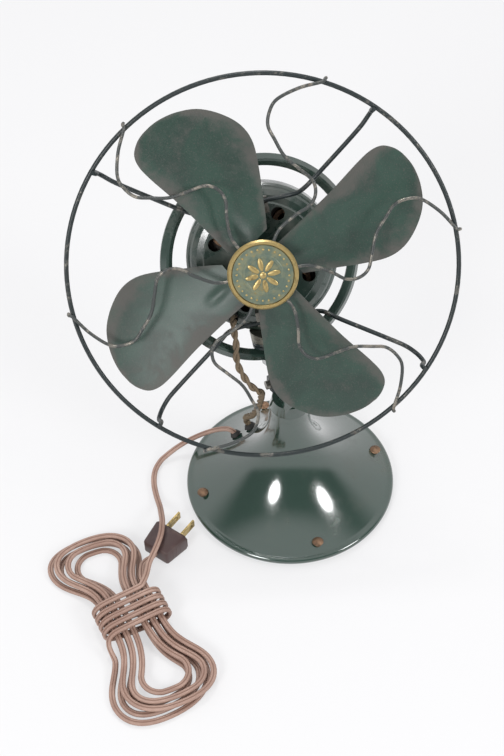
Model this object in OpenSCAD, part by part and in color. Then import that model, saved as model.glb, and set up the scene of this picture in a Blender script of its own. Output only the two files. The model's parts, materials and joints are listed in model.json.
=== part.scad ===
// Four-blade desk fan: a flared base, a tilting ring yoke, and a motor head with
// a wire guard that swings between the two pivots of the ring.

/* [Base] */
// Radius of the flared base over its rolled rim
base_r = 75.5; // [68:0.5:84]
// Radius of the neck at its top
neck_r = 14; // [12:0.5:17]
// Height of the top of the trumpet
neck_z = 88; // [80:1:92]
// How quickly the trumpet flares, as a power
flare_power = 2.6; // [2.2:0.1:3]
// Wall of the pressed shell
base_wall = 2; // [1.6:0.1:2.6]
// Radius of the rolled rim
rim_bead_r = 2.5; // [2:0.1:3]
// How far the plate's rivets stand inside the rim
rivet_inset = 9.7; // [9.5:0.1:14]
// Turn of the four rivets
rivet_turn = 84; // [0:1:89]

/* [Tilt hinge] */
// Height of the tilt axis
hinge_z = 115; // [110:1:122]
// How far back the head leans as shown
tilt_rest = 32; // [25:1:36]
// Width of the slot between the two ears
slot_w = 6.6; // [5:0.1:8]
// Thickness of each ear
ear_t = 5; // [4:0.5:7]
// Radius of the rounded ears
ear_r = 11; // [10:0.5:13]
// Radius of the hinge bolt
hinge_bolt_r = 3; // [2.5:0.1:3.5]

/* [Yoke ring] */
// Height of the ring's lowest point above the tilt axis
ring_foot = 16; // [15:0.5:20]
// Room from the motor to the middle of the ring
ring_room = 15; // [14:0.5:17]
// Radial depth of the ring's section
ring_depth = 8; // [6:0.5:9]
// Thickness of the ring's section along the motor
ring_t = 6; // [5:0.5:7]
// How far the head is swung as shown
swing_rest = -18; // [-18:1:18]

/* [Motor] */
// Outer radius of the motor shells
motor_r = 50; // [47:0.5:52]
// Front face of the motor ahead of the swing axis
face_a = 5; // [4:0.5:7]
// Back of the motor behind the swing axis
motor_back = 38; // [34:1:42]
// Wall of the motor shells
shell_wall = 1.6; // [1.2:0.1:2.2]
// Pitch radius of the vent holes
vent_pitch_r = 32.5; // [31:0.5:34]
// Radius of a vent hole
vent_r = 4.5; // [3.5:0.1:5]
// Radius of the rotor shaft
shaft_r = 3; // [2.5:0.1:3.5]
// Radius of the two swing pivots' housing
pivot_r = 19; // [16:0.5:20]

/* [Blades] */
// Radius of the blade tips
blade_r = 114.3; // [108:0.1:115]
// Thickness of the blade sheet
blade_t = 1; // [0.8:0.1:1.2]
// Pitch line of the blades ahead of the swing axis
blade_a = 33.5; // [33:0.1:34]
// Turn of the first blade as shown
blade_turn = 31; // [0:1:89]
// Radius of the blade hub
hub_r = 19; // [17:0.5:20]

/* [Guard] */
// Radius of the guard ring
guard_r = 124.5; // [122:0.5:130]
// Guard ring ahead of the swing axis
guard_a = 36.8; // [36:0.1:39]
// Radius of the ring wire
ring_wire_r = 1.5; // [1.2:0.1:1.8]
// Radius of the front wires
front_wire_r = 1.1; // [0.9:0.1:1.3]
// Radius of the rear strut wires
strut_r = 1.5; // [1.2:0.1:1.7]
// Radius of the round badge
badge_r = 22.6; // [20:0.2:24]

/* [Mains cord] */
// Diameter of the mains cord
cord_d = 4.2; // [3.6:0.1:4.4]
// Diameter of the cloth motor lead
lead_d = 5; // [4:0.1:5]

/* [Hidden] */
$fn = 64;

// Clearances: between still pieces, between moving pieces, and in a running bore
still_gap = 0.1;
move_gap = 0.3;
run_gap = 0.05;

paint = [0.24, 0.33, 0.29];
dark_paint = [0.16, 0.21, 0.19];
steel = [0.72, 0.72, 0.70];
brass = [0.72, 0.58, 0.30];
copper = [0.66, 0.38, 0.22];
rubber = [0.10, 0.10, 0.10];
felt = [0.12, 0.15, 0.13];
cord_brown = [0.62, 0.49, 0.42];
cloth_brown = [0.40, 0.31, 0.24];
plug_brown = [0.30, 0.23, 0.22];

// Base: the trumpet's radius falls from the rim to the neck by a power law
rim_z = 7;
pad_h = 2;
rim_r = base_r - rim_bead_r - 1;
function trumpet_r(z) = neck_r + (rim_r - neck_r) * pow((neck_z - z) / (neck_z - rim_z), flare_power);
function trumpet_z(r) = neck_z - (neck_z - rim_z) * pow((r - neck_r) / (rim_r - neck_r), 1 / flare_power);
function trumpet_slope(z) = atan(flare_power * (rim_r - neck_r) / (neck_z - rim_z)
    * pow((neck_z - z) / (neck_z - rim_z), flare_power - 1));
rivet_pitch_r = base_r - rivet_inset;
pad_r = base_r - 2 * rim_bead_r - 2;
rivet_r = 2.2;
rivet_head_r = 4;
rivet_z = 1.2;

// Hinge: the ears, the bolt and the nut on its left end
ear_outer = slot_w / 2 + ear_t;
nut_t = 6;
nut_r = 6.2;

// Yoke ring
ring_r = motor_r + ring_room;
ring_in = ring_r - ring_depth / 2;
ring_out = ring_r + ring_depth / 2;
ring_up = ring_foot + ring_out;
post_r = 8;
lower_gap_z = -(motor_r + 3.6);
pivot_pin_r = 4;

// Motor, measured forward from the swing axis
seam_a = -6;
bearing_r = 6;
bearing_l = 12;
front_boss_r = 10;
front_boss_a = face_a + 5;

// Gear case behind the motor
case_y0 = motor_back + still_gap;
case_len = 26;
case_wall = 2.2;
case_corner = 4;
cover_t = 2.4;
worm_r = 4;
wheel_r = 9;
wheel_x = worm_r + wheel_r + 0.4;
wheel_shaft_r = 3;
crank_y = motor_back + 12;
crank_z = 4 - motor_r;
crank_r = 6.2;
crank_disc_r = 9;
case_x0 = -9;
case_x1 = wheel_x + wheel_r + 3.5;
case_z0 = -11;
case_z1 = 11;

// Stud of the oscillating link, on a bracket behind the ring, in the ring's own axes
stud_x = 18;
stud_y = 20;
link_z = -motor_r - 1;
link_t = 2;
// Angle of the crank pin as shown, in the head's axes
crank_angle = 84.4;

// Guard
guard_wires = 6;
wire_first = 30;
wire_seat_a = guard_a + ring_wire_r + front_wire_r + still_gap;
wire_hub_a = 42.2;
plate_r = 14;
// Guard radius that the points of its wires are drawn for, and the share to stretch them by
drawn_guard_r = 124.5;
guard_k = guard_r / drawn_guard_r;
function stretched(q) = [q[0] * guard_k, q[1] * guard_k, q[2]];

// Places of the nested frames
module on_yoke() {
    translate([0, 0, hinge_z]) rotate([-tilt_rest, 0, 0]) children();
}
module on_head() {
    on_yoke() translate([0, 0, ring_up]) rotate([0, 0, swing_rest]) children();
}
// Turns a revolved profile, drawn as radius and forward distance, to the motor axis
module on_axis() {
    on_head() rotate([90, 0, 0]) children();
}

// Sweeps: unit vectors, carried frames and closed tubes of triangles
function unit(v) = v / norm(v);
function tangents(p) = [for (i = [0 : len(p) - 1])
    unit(p[min(i + 1, len(p) - 1)] - p[max(i - 1, 0)])];
function first_normal(t) = unit(cross(t, abs(t[2]) < 0.9 ? [0, 0, 1] : [1, 0, 0]));
function carried(t) = [for (i = 0, n = first_normal(t[0]); i < len(t);
    i = i + 1, n = i < len(t) ? unit(n - t[i] * (n * t[i])) : n) n];
function catmull(a, b, c, d, s) = 0.5 * (2 * b + (c - a) * s + (2 * a - 5 * b + 4 * c - d) * s * s
    + (3 * b - a - 3 * c + d) * s * s * s);
function smooth(p, steps) = concat([for (i = [0 : len(p) - 2], s = [0 : steps - 1])
    catmull(p[max(i - 1, 0)], p[i], p[i + 1], p[min(i + 2, len(p) - 1)], s / steps)],
    [p[len(p) - 1]]);

module tube(p, r, sides) {
    t = tangents(p);
    n = carried(t);
    rings = len(p);
    spots = [for (i = [0 : rings - 1], k = [0 : sides - 1])
        p[i] + r * (cos(360 * k / sides) * n[i] + sin(360 * k / sides) * cross(t[i], n[i]))];
    walls = [for (i = [0 : rings - 2], k = [0 : sides - 1], half = [0, 1])
        let (a = i * sides + k, b = i * sides + (k + 1) % sides)
        half == 0 ? [a, b + sides, b] : [a, a + sides, b + sides]];
    ends = [for (k = [1 : sides - 2], half = [0, 1])
        half == 0 ? [0, k, k + 1] : [(rings - 1) * sides, (rings - 1) * sides + k + 1,
            (rings - 1) * sides + k]];
    polyhedron(spots, concat(walls, ends), convexity = 10);
}

// Base
module base_shell() {
    steps = 22;
    outer = [for (i = [0 : steps]) let (z = neck_z + (rim_z - neck_z) * i / steps) [trumpet_r(z), z]];
    inner = [for (i = [steps : -1 : 0]) let (q = outer[i]) [q[0] - base_wall * 0.6,
        q[1] - base_wall * 0.8]];
    color(paint) difference() {
        union() {
            rotate_extrude($fn = 96) polygon(concat(outer, inner));
            translate([0, 0, rim_z - rim_bead_r]) rotate_extrude($fn = 96)
                translate([base_r - rim_bead_r, 0]) circle(r = rim_bead_r, $fn = 32);
        }
        rivet_places() translate([0, 0, -1]) cylinder(r = rivet_r + still_gap, h = neck_z);
        cord_place() translate([0, 0, -20]) cylinder(r = cord_hole_r, h = 40);
        lead_place() translate([0, 0, -20]) cylinder(r = lead_hole_r, h = 40);
    }
}
module rivet_places() {
    for (i = [0 : 3]) rotate([0, 0, rivet_turn + 90 * i]) translate([rivet_pitch_r, 0, 0]) children();
}
module neck_clevis() {
    plug_r = neck_r - base_wall - still_gap;
    top = hinge_z + ear_r;
    color(paint) difference() {
        union() {
            translate([0, 0, neck_z - 14]) cylinder(r = plug_r, h = 14 + still_gap);
            translate([0, 0, neck_z + still_gap]) cylinder(r1 = neck_r, r2 = neck_r - 2, h = 8);
            translate([-ear_outer, -ear_r, neck_z + 4])
                cube([2 * ear_outer, 2 * ear_r, hinge_z - neck_z - 4]);
            translate([-ear_outer, 0, hinge_z]) rotate([0, 90, 0]) cylinder(r = ear_r, h = 2 * ear_outer);
        }
        translate([-slot_w / 2, -ear_r - 5, neck_z + 10]) cube([slot_w, 2 * ear_r + 10, top]);
        translate([-20, 0, hinge_z]) rotate([0, 90, 0]) cylinder(r = hinge_bolt_r + run_gap, h = 40);
    }
}
module base_plate() {
    color(dark_paint) difference() {
        translate([0, 0, pad_h + 0.6]) cylinder(r = base_r - 2 * rim_bead_r - move_gap, h = 1.5);
        rivet_places() cylinder(r = rivet_r + still_gap, h = 20);
    }
}
module felt_pad() {
    color(felt) difference() {
        cylinder(r = pad_r, h = pad_h + 0.6, $fn = 96);
        rivet_places() translate([0, 0, rivet_z - still_gap]) cylinder(r = rivet_r + still_gap, h = pad_h);
    }
}
module base_rivets() {
    seat = trumpet_z(rivet_pitch_r - rivet_head_r) + still_gap;
    color(copper) rivet_places() {
        translate([0, 0, rivet_z]) cylinder(r = rivet_r, h = seat - rivet_z);
        translate([0, 0, seat]) intersection() {
            cylinder(r = rivet_head_r, h = 2);
            translate([0, 0, -3.4]) sphere(r = 5.2);
        }
    }
}
module tilt_bolt() {
    color(steel) translate([0, 0, hinge_z]) rotate([0, 90, 0]) {
        translate([0, 0, -ear_outer - nut_t - 3]) cylinder(r = hinge_bolt_r, h = 2 * ear_outer
            + nut_t + 3);
        translate([0, 0, ear_outer + still_gap]) cylinder(r = 5.6, h = 3.2);
    }
}
module tilt_nut() {
    color(dark_paint) translate([-ear_outer - still_gap, 0, hinge_z]) rotate([0, -90, 0]) difference() {
        cylinder(r = nut_r, h = nut_t, $fn = 6);
        translate([0, 0, -1]) cylinder(r = hinge_bolt_r + run_gap, h = nut_t + 2);
    }
}

// Places where the mains cord and the motor lead go into the base
cord_hole_r = cord_d / 2 + 1.2;
lead_hole_r = lead_d / 2 + 1.2;
cord_hole_at = 124.4;
cord_hole_pr = 46.5;
lead_hole_at = 113;
lead_hole_pr = 39.5;
module on_trumpet(turn, r) {
    z = trumpet_z(r);
    rotate([0, 0, turn]) translate([r, 0, z]) rotate([0, 90 - trumpet_slope(z) , 0]) children();
}
module cord_place() {
    on_trumpet(cord_hole_at, cord_hole_pr) children();
}
module lead_place() {
    on_trumpet(lead_hole_at, lead_hole_pr) children();
}
module bushing(hole_r, wire_r) {
    difference() {
        union() {
            translate([0, 0, -4]) cylinder(r = hole_r - still_gap, h = 6);
            translate([0, 0, 1]) cylinder(r1 = hole_r + 0.9, r2 = hole_r - 0.4, h = 2.4);
        }
        translate([0, 0, -6]) cylinder(r = wire_r + still_gap, h = 20);
    }
}
module cord_bushing() {
    color(dark_paint) cord_place() bushing(cord_hole_r, cord_d / 2);
}
module lead_bushing() {
    color(dark_paint) lead_place() bushing(lead_hole_r, lead_d / 2);
}

// Mains cord: hand-laid points from the bushing over the base to the hank
function turned(a, v) = [cos(a) * v[0] - sin(a) * v[1], sin(a) * v[0] + cos(a) * v[1], v[2]];
function out_of(turn, r, h) = let (z = trumpet_z(r), s = 90 - trumpet_slope(z))
    turned(turn, [r + h * sin(s), 0, z + h * cos(s)]);
cord_exit = [for (h = [-5, -1, 3.6, 6.5]) out_of(cord_hole_at, cord_hole_pr, h)];
cord_route = [[-37, 47, 27], [-49, 53, 19], [-62, 57, 11], [-76, 56, 4.8], [-87, 49, 2.6], [-93, 37, 2.6],
    [-95.5, 24, 2.8], [-97, 12, 6], [-99.5, 1, 12.5], [-102, -9, 17], [-107, -20, 18.4],
        [-115, -30, 17.2],
    [-122, -37, 15.2]];
module mains_cord() {
    last = hank_points[0];
    before = hank_points[0] - (hank_points[1] - hank_points[0]);
    color(cord_brown) tube(concat(smooth(concat(cord_exit, cord_route, [before]), 3), [last]),
        cord_d / 2, 8);
}

// Hank: loops nested in two layers, drawn in at the waist, and the turns that bind it
hank_at = [-147, -68, 0];
hank_turn = 4;
hank_floor = cord_d / 2 + 0.2;
layer_h = cord_d + 0.6;
lift_h = layer_h + 0.4;
loop_turns = 3;
loop_step = cord_d + 1.65;
loop_long = 62;
loop_flare = 56;
loop_rings = 36;
bind_turns = 4;
bind_r = 1.5 * layer_h + 0.4;
bind_z = hank_floor + bind_r;
function hank_out(u, v, z) = hank_at + turned(hank_turn, [v, u, z]);
function hank_lift(u) = lift_h * exp(-pow(u / 32, 4));
function inner_loop(a) = [loop_long * cos(a), -sin(a) * (loop_step / 2 + loop_flare * pow(cos(a), 4))];
function loop_point(f) =
    let (k = abs(f - loop_turns), a = 90 + 360 * f)
    let (along = unit(inner_loop(a + 0.1) - inner_loop(a - 0.1)))
    let (q = inner_loop(a) + loop_step * k * [-along[1], along[0]])
    let (rise = min(1, max(0, (f - loop_turns) * 2.4 + 0.5)), upper = rise * rise * (3 - 2 * rise))
    let (lean = q[0] > 0 ? -10 + 4 * upper : -4 + 10 * upper)
    hank_out(q[0], q[1] + lean * pow(q[0] / 75, 2), hank_floor + upper * layer_h + hank_lift(q[0]));
bind_right = loop_step * loop_turns + 0.2;
bind_left = loop_step * (loop_turns - 0.5) + 0.9;
bind_len = 2 * (bind_right + bind_left) + 2 * PI * bind_r;
bind_pitch = 6;
bind_bend = 11;
// Point on the stadium round the waist: s runs from its left end under the bundle
function stadium(s) = let (q = bind_r * PI / 2, flat = bind_right + bind_left,
    m = s - bind_len * floor(s / bind_len))
    m < q ? [-bind_left - bind_r * cos(m / bind_r * 180 / PI),
        bind_z - bind_r * sin(m / bind_r * 180 / PI)] :
    m < q + flat ? [-bind_left + m - q, bind_z - bind_r] :
    m < 3 * q + flat ? let (b = (m - q - flat) / bind_r * 180 / PI)
        [bind_right + bind_r * sin(b), bind_z - bind_r * cos(b)] :
    m < 3 * q + 2 * flat ? [bind_right - (m - 3 * q - flat), bind_z + bind_r] :
    let (b = (m - 3 * q - 2 * flat) / bind_r * 180 / PI) [-bind_left - bind_r * sin(b), bind_z
        + bind_r * cos(b)];
function bind_point(s, u) = let (q = stadium(s)) hank_out(u, q[0], q[1]);
bind_s0 = bind_r * PI + bind_right + bind_left + 4.4 + bind_bend;
bind_s1 = bind_len * (bind_turns + 1) + 3 - bind_bend;
bind_u0 = bind_pitch * (bind_s1 - bind_s0) / bind_len / 2;
bind_lead = [for (b = [0 : 15 : 75]) bind_point(bind_s0 - bind_bend * cos(b), bind_u0
    + bind_bend * (1 - sin(b)))];
bind_rings = 24 * bind_turns;
bind_run = [for (i = [0 : bind_rings]) bind_point(bind_s0 + (bind_s1 - bind_s0) * i / bind_rings,
    bind_u0 * (1 - 2 * i / bind_rings))];
bind_tail = [for (b = [15 : 15 : 90]) bind_point(bind_s1 + bind_bend * sin(b),
    -bind_u0 - bind_bend * (1 - cos(b)))];
loops_run = [for (i = [3 : 5.56 * loop_rings]) loop_point(i / loop_rings)];
hank_start = 2 * bind_lead[0] - bind_lead[1];
hank_points = concat([hank_start], bind_lead, bind_run, bind_tail, loops_run);
function span_gap(p, a, b) =
    let (ab = b - a, s = min(1, max(0, ((p - a) * ab) / (ab * ab)))) norm(p - a - s * ab);
function least_gap(p, skip) = min([for (i = [0 : len(p) - 1], j = [i + skip : len(p) - 2])
    if (norm(p[i] - p[j]) < 30) span_gap(p[i], p[j], p[j + 1])]) - cord_d;
function length_of(p) = len(p) < 2 ? 0 : [for (i = 0, s = 0; i < len(p); s = i + 1 < len(p)
    ? s + norm(p[i + 1] - p[i]) : s, i = i + 1) s][len(p) - 1];
module cord_hank() {
    echo(hank_gap = least_gap(hank_points, 6), hank_length = length_of(hank_points));
    color(cord_brown) tube(hank_points, cord_d / 2, 6);
}

// Plug: body with its cord end towards the hank
plug_front = [-97, -15, 7];
plug_turn = 32;
plug_w = 27;
plug_h = 13.6;
plug_l = 20;
module plug_place() {
    translate(plug_front) rotate([0, 0, plug_turn]) children();
}
plug_back = plug_front + turned(plug_turn, [-plug_l, 0, 0]);
module plug_body() {
    color(plug_brown) plug_place() difference() {
        union() {
            translate([-plug_l, -plug_w / 2, -plug_h / 2]) cube([plug_l - 6, plug_w, plug_h]);
            translate([-6, -plug_w / 2 + 1, -plug_h / 2 + 1]) cube([6, plug_w - 2, plug_h - 2]);
        }
        for (s = [-1, 1]) translate([-8, s * 6.35 - 0.85, -3.3]) cube([10, 1.7, 6.6]);
    }
}
module plug_blades() {
    color(brass) plug_place() for (s = [-1, 1]) difference() {
        translate([-7.9, s * 6.35 - 0.75, -3.2]) cube([24, 1.5, 6.4]);
        translate([12, s * 6.35 - 2, 0]) rotate([-90, 0, 0]) cylinder(r = 1.6, h = 4);
    }
}
module plug_lead() {
    n = len(hank_points);
    last = hank_points[n - 1];
    after = last + unit(last - hank_points[n - 2]) * cord_d;
    ends = [for (q = [[-12, 1.5, 1.6], [-5.4, 0, 0], [-2.4, 0, 0], [-still_gap, 0, 0]])
        plug_back + turned(plug_turn, q)];
    color(cord_brown) tube(concat([last], smooth(concat([after], ends), 4)), cord_d / 2, 8);
}

// Yoke
module yoke_ring() {
    edge = 1.6;
    color(paint) on_yoke() difference() {
        translate([0, 0, ring_up]) rotate([90, 0, 0]) rotate_extrude($fn = 96)
            polygon([[ring_in, -ring_t / 2 + edge], [ring_in + edge, -ring_t / 2],
                [ring_out - edge, -ring_t / 2],
                [ring_out, -ring_t / 2 + edge], [ring_out, ring_t / 2 - 2 * edge],
                    [ring_out - 2 * edge, ring_t / 2],
                [ring_in + 2 * edge, ring_t / 2], [ring_in, ring_t / 2 - 2 * edge]]);
        cylinder(r = 2, h = ring_up);
        translate([0, 0, ring_up + ring_in - 2]) cylinder(r = 2.5, h = ring_depth + 4);
    }
}
module yoke_tang() {
    color(paint) on_yoke() difference() {
        union() {
            translate([-slot_w / 2 + move_gap, 0, 0]) rotate([0, 90, 0])
                cylinder(r = ear_r - 1, h = slot_w - 2 * move_gap);
            translate([-slot_w / 2 + move_gap, -8, 0]) cube([slot_w - 2 * move_gap, 16, 15]);
            translate([-14, -7, 13.5]) cube([28, 14, 7]);
        }
        translate([0, 20, ring_up]) rotate([90, 0, 0]) cylinder(r = ring_out + still_gap, h = 40,
            $fn = 96);
        translate([-20, 0, 0]) rotate([0, 90, 0]) cylinder(r = hinge_bolt_r + run_gap, h = 40);
        cylinder(r = 2, h = 40);
    }
}
module pivot_post() {
    color(dark_paint) on_yoke() translate([0, 0, ring_up]) difference() {
        union() {
            translate([0, 0, -ring_in + 0.9]) cylinder(r = post_r, h = ring_in + lower_gap_z - 2);
            translate([0, 0, lower_gap_z - 4]) cylinder(r = pivot_r, h = 4 - move_gap);
            translate([0, 0, lower_gap_z - 3]) cylinder(r = pivot_pin_r, h = 6);
        }
        translate([0, 0, lower_gap_z - 2.4]) rotate_extrude() translate([pivot_r - 0.8, 0])
            square([3, 0.9]);
    }
}
module upper_pivot_screw() {
    color(steel) on_yoke() translate([0, 0, ring_up]) {
        translate([0, 0, motor_r + 3]) cylinder(r = 2.5 - run_gap, h = ring_out - motor_r - 3);
        translate([0, 0, ring_out + still_gap]) cylinder(r = 4.6, h = 2.6);
        translate([0, 0, ring_out - 1]) cylinder(r = 2.45, h = 2);
    }
}
module link_stud() {
    stud_r = 2;
    foot_z = -sqrt(ring_r * ring_r - stud_x * stud_x);
    color(steel) on_yoke() translate([0, 0, ring_up]) {
        translate([stud_x - 3.4, ring_t / 2 + still_gap, foot_z - 4])
            cube([6.8, stud_y - ring_t / 2 + 3, 3]);
        translate([stud_x - 3.4, ring_t / 2 + still_gap, foot_z - 4]) cube([6.8, 2, 7]);
        translate([stud_x, stud_y, foot_z - 2]) cylinder(r = stud_r, h = link_z - foot_z + 4);
    }
}

// Motor lead: cloth cord from the front shell, past the ring and the hinge, into the base
function yoke_out(p) = [p[0], p[1] * cos(tilt_rest) + p[2] * sin(tilt_rest),
    hinge_z - p[1] * sin(tilt_rest) + p[2] * cos(tilt_rest)];
gland_r = motor_r - 7;
gland_at = 231.5;
function head_out(x, a, z) = yoke_out(turned(swing_rest, [x, -a, z]) + [0, 0, ring_up]);
function gland_out(a) = head_out(gland_r * cos(gland_at), a, gland_r * sin(gland_at));
lead_end = [for (h = [7.5, 3.8, 0, -4.5]) out_of(lead_hole_at, lead_hole_pr, h)];
lead_head = [[-27.5, 15.5, 14 - motor_r], [-28, 18.3, 9 - motor_r], [-28.5, 18.3, 2 - motor_r]];
lead_yoke = [[-34.5, -7.5, 27.5], [-34, -7, 18.5], [-30, -6, 7]];
lead_fall = [[-24.5, -4, 116.5], [-21, -1, 111], [-19, 4, 101], [-18, 10, 87], [-18, 16, 73],
    [-18.5, 25, 57],
    [-19, 34, 46]];
module motor_lead() {
    color(cloth_brown) tube(smooth(concat([gland_out(5), gland_out(10)],
        [for (q = lead_head) head_out(q[0], q[1], q[2])], [for (q = lead_yoke) yoke_out(q)],
            lead_fall, lead_end), 3), lead_d / 2, 8);
}

// Motor
module shell_front_profile() {
    polygon([[motor_r - shell_wall, seam_a], [motor_r, seam_a], [motor_r, seam_a + 3],
        [motor_r - 1.4, seam_a + 4.4],
        [motor_r - 2.4, seam_a + 4.8], [motor_r - 3.6, face_a - 4.6], [motor_r - 7, face_a - 2.4],
        [motor_r - 11, face_a - 1.6], [motor_r - 12, face_a], [front_boss_r + 4, face_a],
        [front_boss_r, face_a + 1.6], [front_boss_r - 0.6, front_boss_a], [bearing_r, front_boss_a],
        [bearing_r, face_a - shell_wall], [motor_r - 12.6, face_a - shell_wall],
            [motor_r - 12, face_a - 3.4],
        [motor_r - 7.6, face_a - 4.2], [motor_r - 4.8, face_a - 6.2], [motor_r - shell_wall - 1.6,
            seam_a + 3]]);
}
module motor_front_shell() {
    color(paint) on_axis() difference() {
        rotate_extrude($fn = 96) shell_front_profile();
        for (i = [0 : 3]) rotate([0, 0, -31 + 90 * i]) translate([0, vent_pitch_r, -10])
            cylinder(r = vent_r, h = 30);
        for (i = [0 : 1]) rotate([0, 0, 90 + 180 * i]) translate([0, vent_pitch_r, -10])
            cylinder(r = 1.8, h = 30);
        rotate([0, 0, gland_at - 90]) translate([0, gland_r, -10]) cylinder(r = lead_hole_r - 0.4,
            h = 30);
    }
}
module motor_rear_shell() {
    back = -motor_back;
    color(paint) on_axis() difference() {
        rotate_extrude($fn = 96) polygon([[motor_r, seam_a - still_gap], [motor_r, -14],
            [motor_r - 2, -20], [motor_r - 6, -27],
            [motor_r - 13, back + 4], [motor_r - 22, back], [bearing_r, back], [bearing_r, back + 8],
                [bearing_r + 4, back + 8],
            [bearing_r + 4, back + shell_wall], [motor_r - 22.6, back + shell_wall],
                [motor_r - 14, back + 5.4],
            [motor_r - 7.4, -26], [motor_r - 3.6, -19.4], [motor_r - shell_wall, -13.6],
            [motor_r - shell_wall, seam_a - still_gap]]);
        for (i = [0 : 5]) rotate([0, 0, 60 * i]) translate([0, motor_r - 18, back - 5])
            cylinder(r = 3, h = 20);
    }
}
module stator_core() {
    core_r = motor_r - shell_wall - still_gap;
    color([0.35, 0.33, 0.31]) on_axis() translate([0, 0, -17.5]) difference() {
        cylinder(r = core_r - 1.4, h = 13, $fn = 96);
        translate([0, 0, -1]) cylinder(r = rotor_gap_r, h = 20);
        for (i = [0 : 3]) rotate([0, 0, 45 + 90 * i]) translate([29, 0, -1]) cylinder(r = 9, h = 20);
    }
}
rotor_gap_r = 19.5;
module field_coils() {
    color(copper) on_axis() translate([0, 0, -19.5]) for (i = [0 : 3]) rotate([0, 0, 45 + 90 * i])
        translate([29, 0, 0]) rotate_extrude() translate([5.4, 0]) square([3, 17]);
}
module shaft_bearings() {
    color(brass) on_axis() {
        for (z = [front_boss_a - bearing_l + 1, -motor_back + 0.2]) translate([0, 0, z]) difference() {
            cylinder(r = bearing_r - still_gap, h = z > 0 - bearing_l ? bearing_l : 9);
            translate([0, 0, -1]) cylinder(r = shaft_r + run_gap, h = bearing_l + 2);
        }
    }
}
module motor_screws() {
    color(steel) on_axis() for (i = [0 : 1]) rotate([0, 0, 90 + 180 * i])
        translate([0, vent_pitch_r, 0]) {
        translate([0, 0, face_a + still_gap]) cylinder(r = 3, h = 1.6);
        translate([0, 0, face_a - 9]) cylinder(r = 1.7, h = 9.2);
    }
}
module motor_outside(gap) {
    rotate([90, 0, 0]) translate([0, 0, -20]) cylinder(r = motor_r + gap, h = 40, $fn = 96);
}
module pivot_boss() {
    color(steel) on_head() difference() {
        translate([0, 0, lower_gap_z]) cylinder(r = pivot_r, h = 12);
        motor_outside(still_gap);
        translate([0, 0, lower_gap_z - 1]) cylinder(r = pivot_pin_r + run_gap, h = 8);
    }
}
module upper_pivot_bush() {
    color(steel) on_head() difference() {
        translate([0, 0, motor_r - 4]) cylinder(r = 7, h = ring_in - motor_r + 4 - 1.6);
        motor_outside(still_gap);
        translate([0, 0, motor_r + 2]) cylinder(r = 2.5, h = 20);
    }
}

// Gear case, its cover and the oscillating drive
module rounded_block(x0, x1, z0, z1, r, l) {
    for (x = [x0 + r, x1 - r], z = [z0 + r, z1 - r])
        translate([x, 0, z]) rotate([-90, 0, 0]) cylinder(r = r, h = l);
    translate([x0 + r, 0, z0]) cube([x1 - x0 - 2 * r, l, z1 - z0]);
    translate([x0, 0, z0 + r]) cube([x1 - x0, l, z1 - z0 - 2 * r]);
}
module gear_case() {
    color(paint) on_head() difference() {
        union() {
            translate([0, case_y0, 0])
                rounded_block(case_x0, case_x1, case_z0, case_z1, case_corner, case_len);
            translate([0, case_y0, 0]) rotate([-90, 0, 0]) cylinder(r = 20, h = 4);
            translate([wheel_x, crank_y, crank_z + 6]) cylinder(r = 6.5, h = case_z0 - crank_z - 5);
        }
        translate([0, case_y0 + case_wall, 0]) rounded_block(case_x0 + case_wall, case_x1 - case_wall,
            case_z0 + case_wall, case_z1 - case_wall, case_corner - case_wall, case_len);
        translate([0, case_y0 - 1, 0]) rotate([-90, 0, 0]) cylinder(r = shaft_r + 1, h = 8);
        translate([wheel_x, crank_y, crank_z]) cylinder(r = wheel_shaft_r + run_gap, h = 50);
    }
}
module gear_cover() {
    color(paint) on_head() translate([0, case_y0 + case_len + still_gap, 0]) {
        rounded_block(case_x0, case_x1, case_z0, case_z1, case_corner, cover_t);
        translate([(case_x0 + case_x1) / 2, cover_t - 0.2, 0]) rotate([-90, 0, 0])
            cylinder(r1 = 8, r2 = 6.4, h = 1.4);
    }
}
module cover_screws() {
    color(steel) on_head() for (x = [case_x0 + 3, case_x1 - 3], z = [case_z0 + 3, case_z1 - 3])
        translate([x, case_y0 + case_len + cover_t + 2 * still_gap, z]) rotate([-90, 0, 0])
            cylinder(r1 = 2.4, r2 = 1.9, h = 1.4);
}
module worm() {
    color(brass) on_head() translate([0, crank_y - 7, 0]) rotate([-90, 0, 0]) difference() {
        cylinder(r = worm_r, h = 14);
        translate([0, 0, -1]) cylinder(r = shaft_r + run_gap, h = 20);
        for (i = [0 : 5]) translate([0, 0, 1.2 + 2.1 * i])
            rotate_extrude() translate([worm_r - 0.5, 0]) square([2, 1]);
    }
}
module worm_wheel() {
    teeth = 24;
    color(brass) on_head() translate([wheel_x, crank_y, 0]) {
        translate([0, 0, -3]) difference() {
            cylinder(r = wheel_r, h = 6);
            for (i = [0 : teeth - 1]) rotate([0, 0, 360 * i / teeth]) translate([wheel_r, 0, -1])
                cylinder(r = 0.55, h = 9);
        }
        translate([0, 0, crank_z - 1]) cylinder(r = wheel_shaft_r, h = -crank_z + 1 - 3);
    }
}
module crank_disc() {
    color(steel) on_head() translate([wheel_x, crank_y, crank_z]) difference() {
        union() {
            translate([0, 0, -2]) cylinder(r = crank_disc_r, h = 2.6);
            cylinder(r = 5.6, h = 5.6);
        }
        translate([0, 0, -1]) cylinder(r = wheel_shaft_r + run_gap, h = 20);
    }
}
function crank_pin(angle, swing) = turned(swing, [wheel_x, crank_y, 0] + crank_r * [cos(angle),
    sin(angle), 0]);
link_from = [stud_x, stud_y, 0];
link_to = crank_pin(crank_angle, swing_rest);
link_len = norm(link_to - link_from);
link_angle = atan2(link_to[1] - link_from[1], link_to[0] - link_from[0]);
module link_place() {
    on_yoke() translate([stud_x, stud_y, ring_up + link_z]) rotate([0, 0, link_angle]) children();
}
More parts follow.
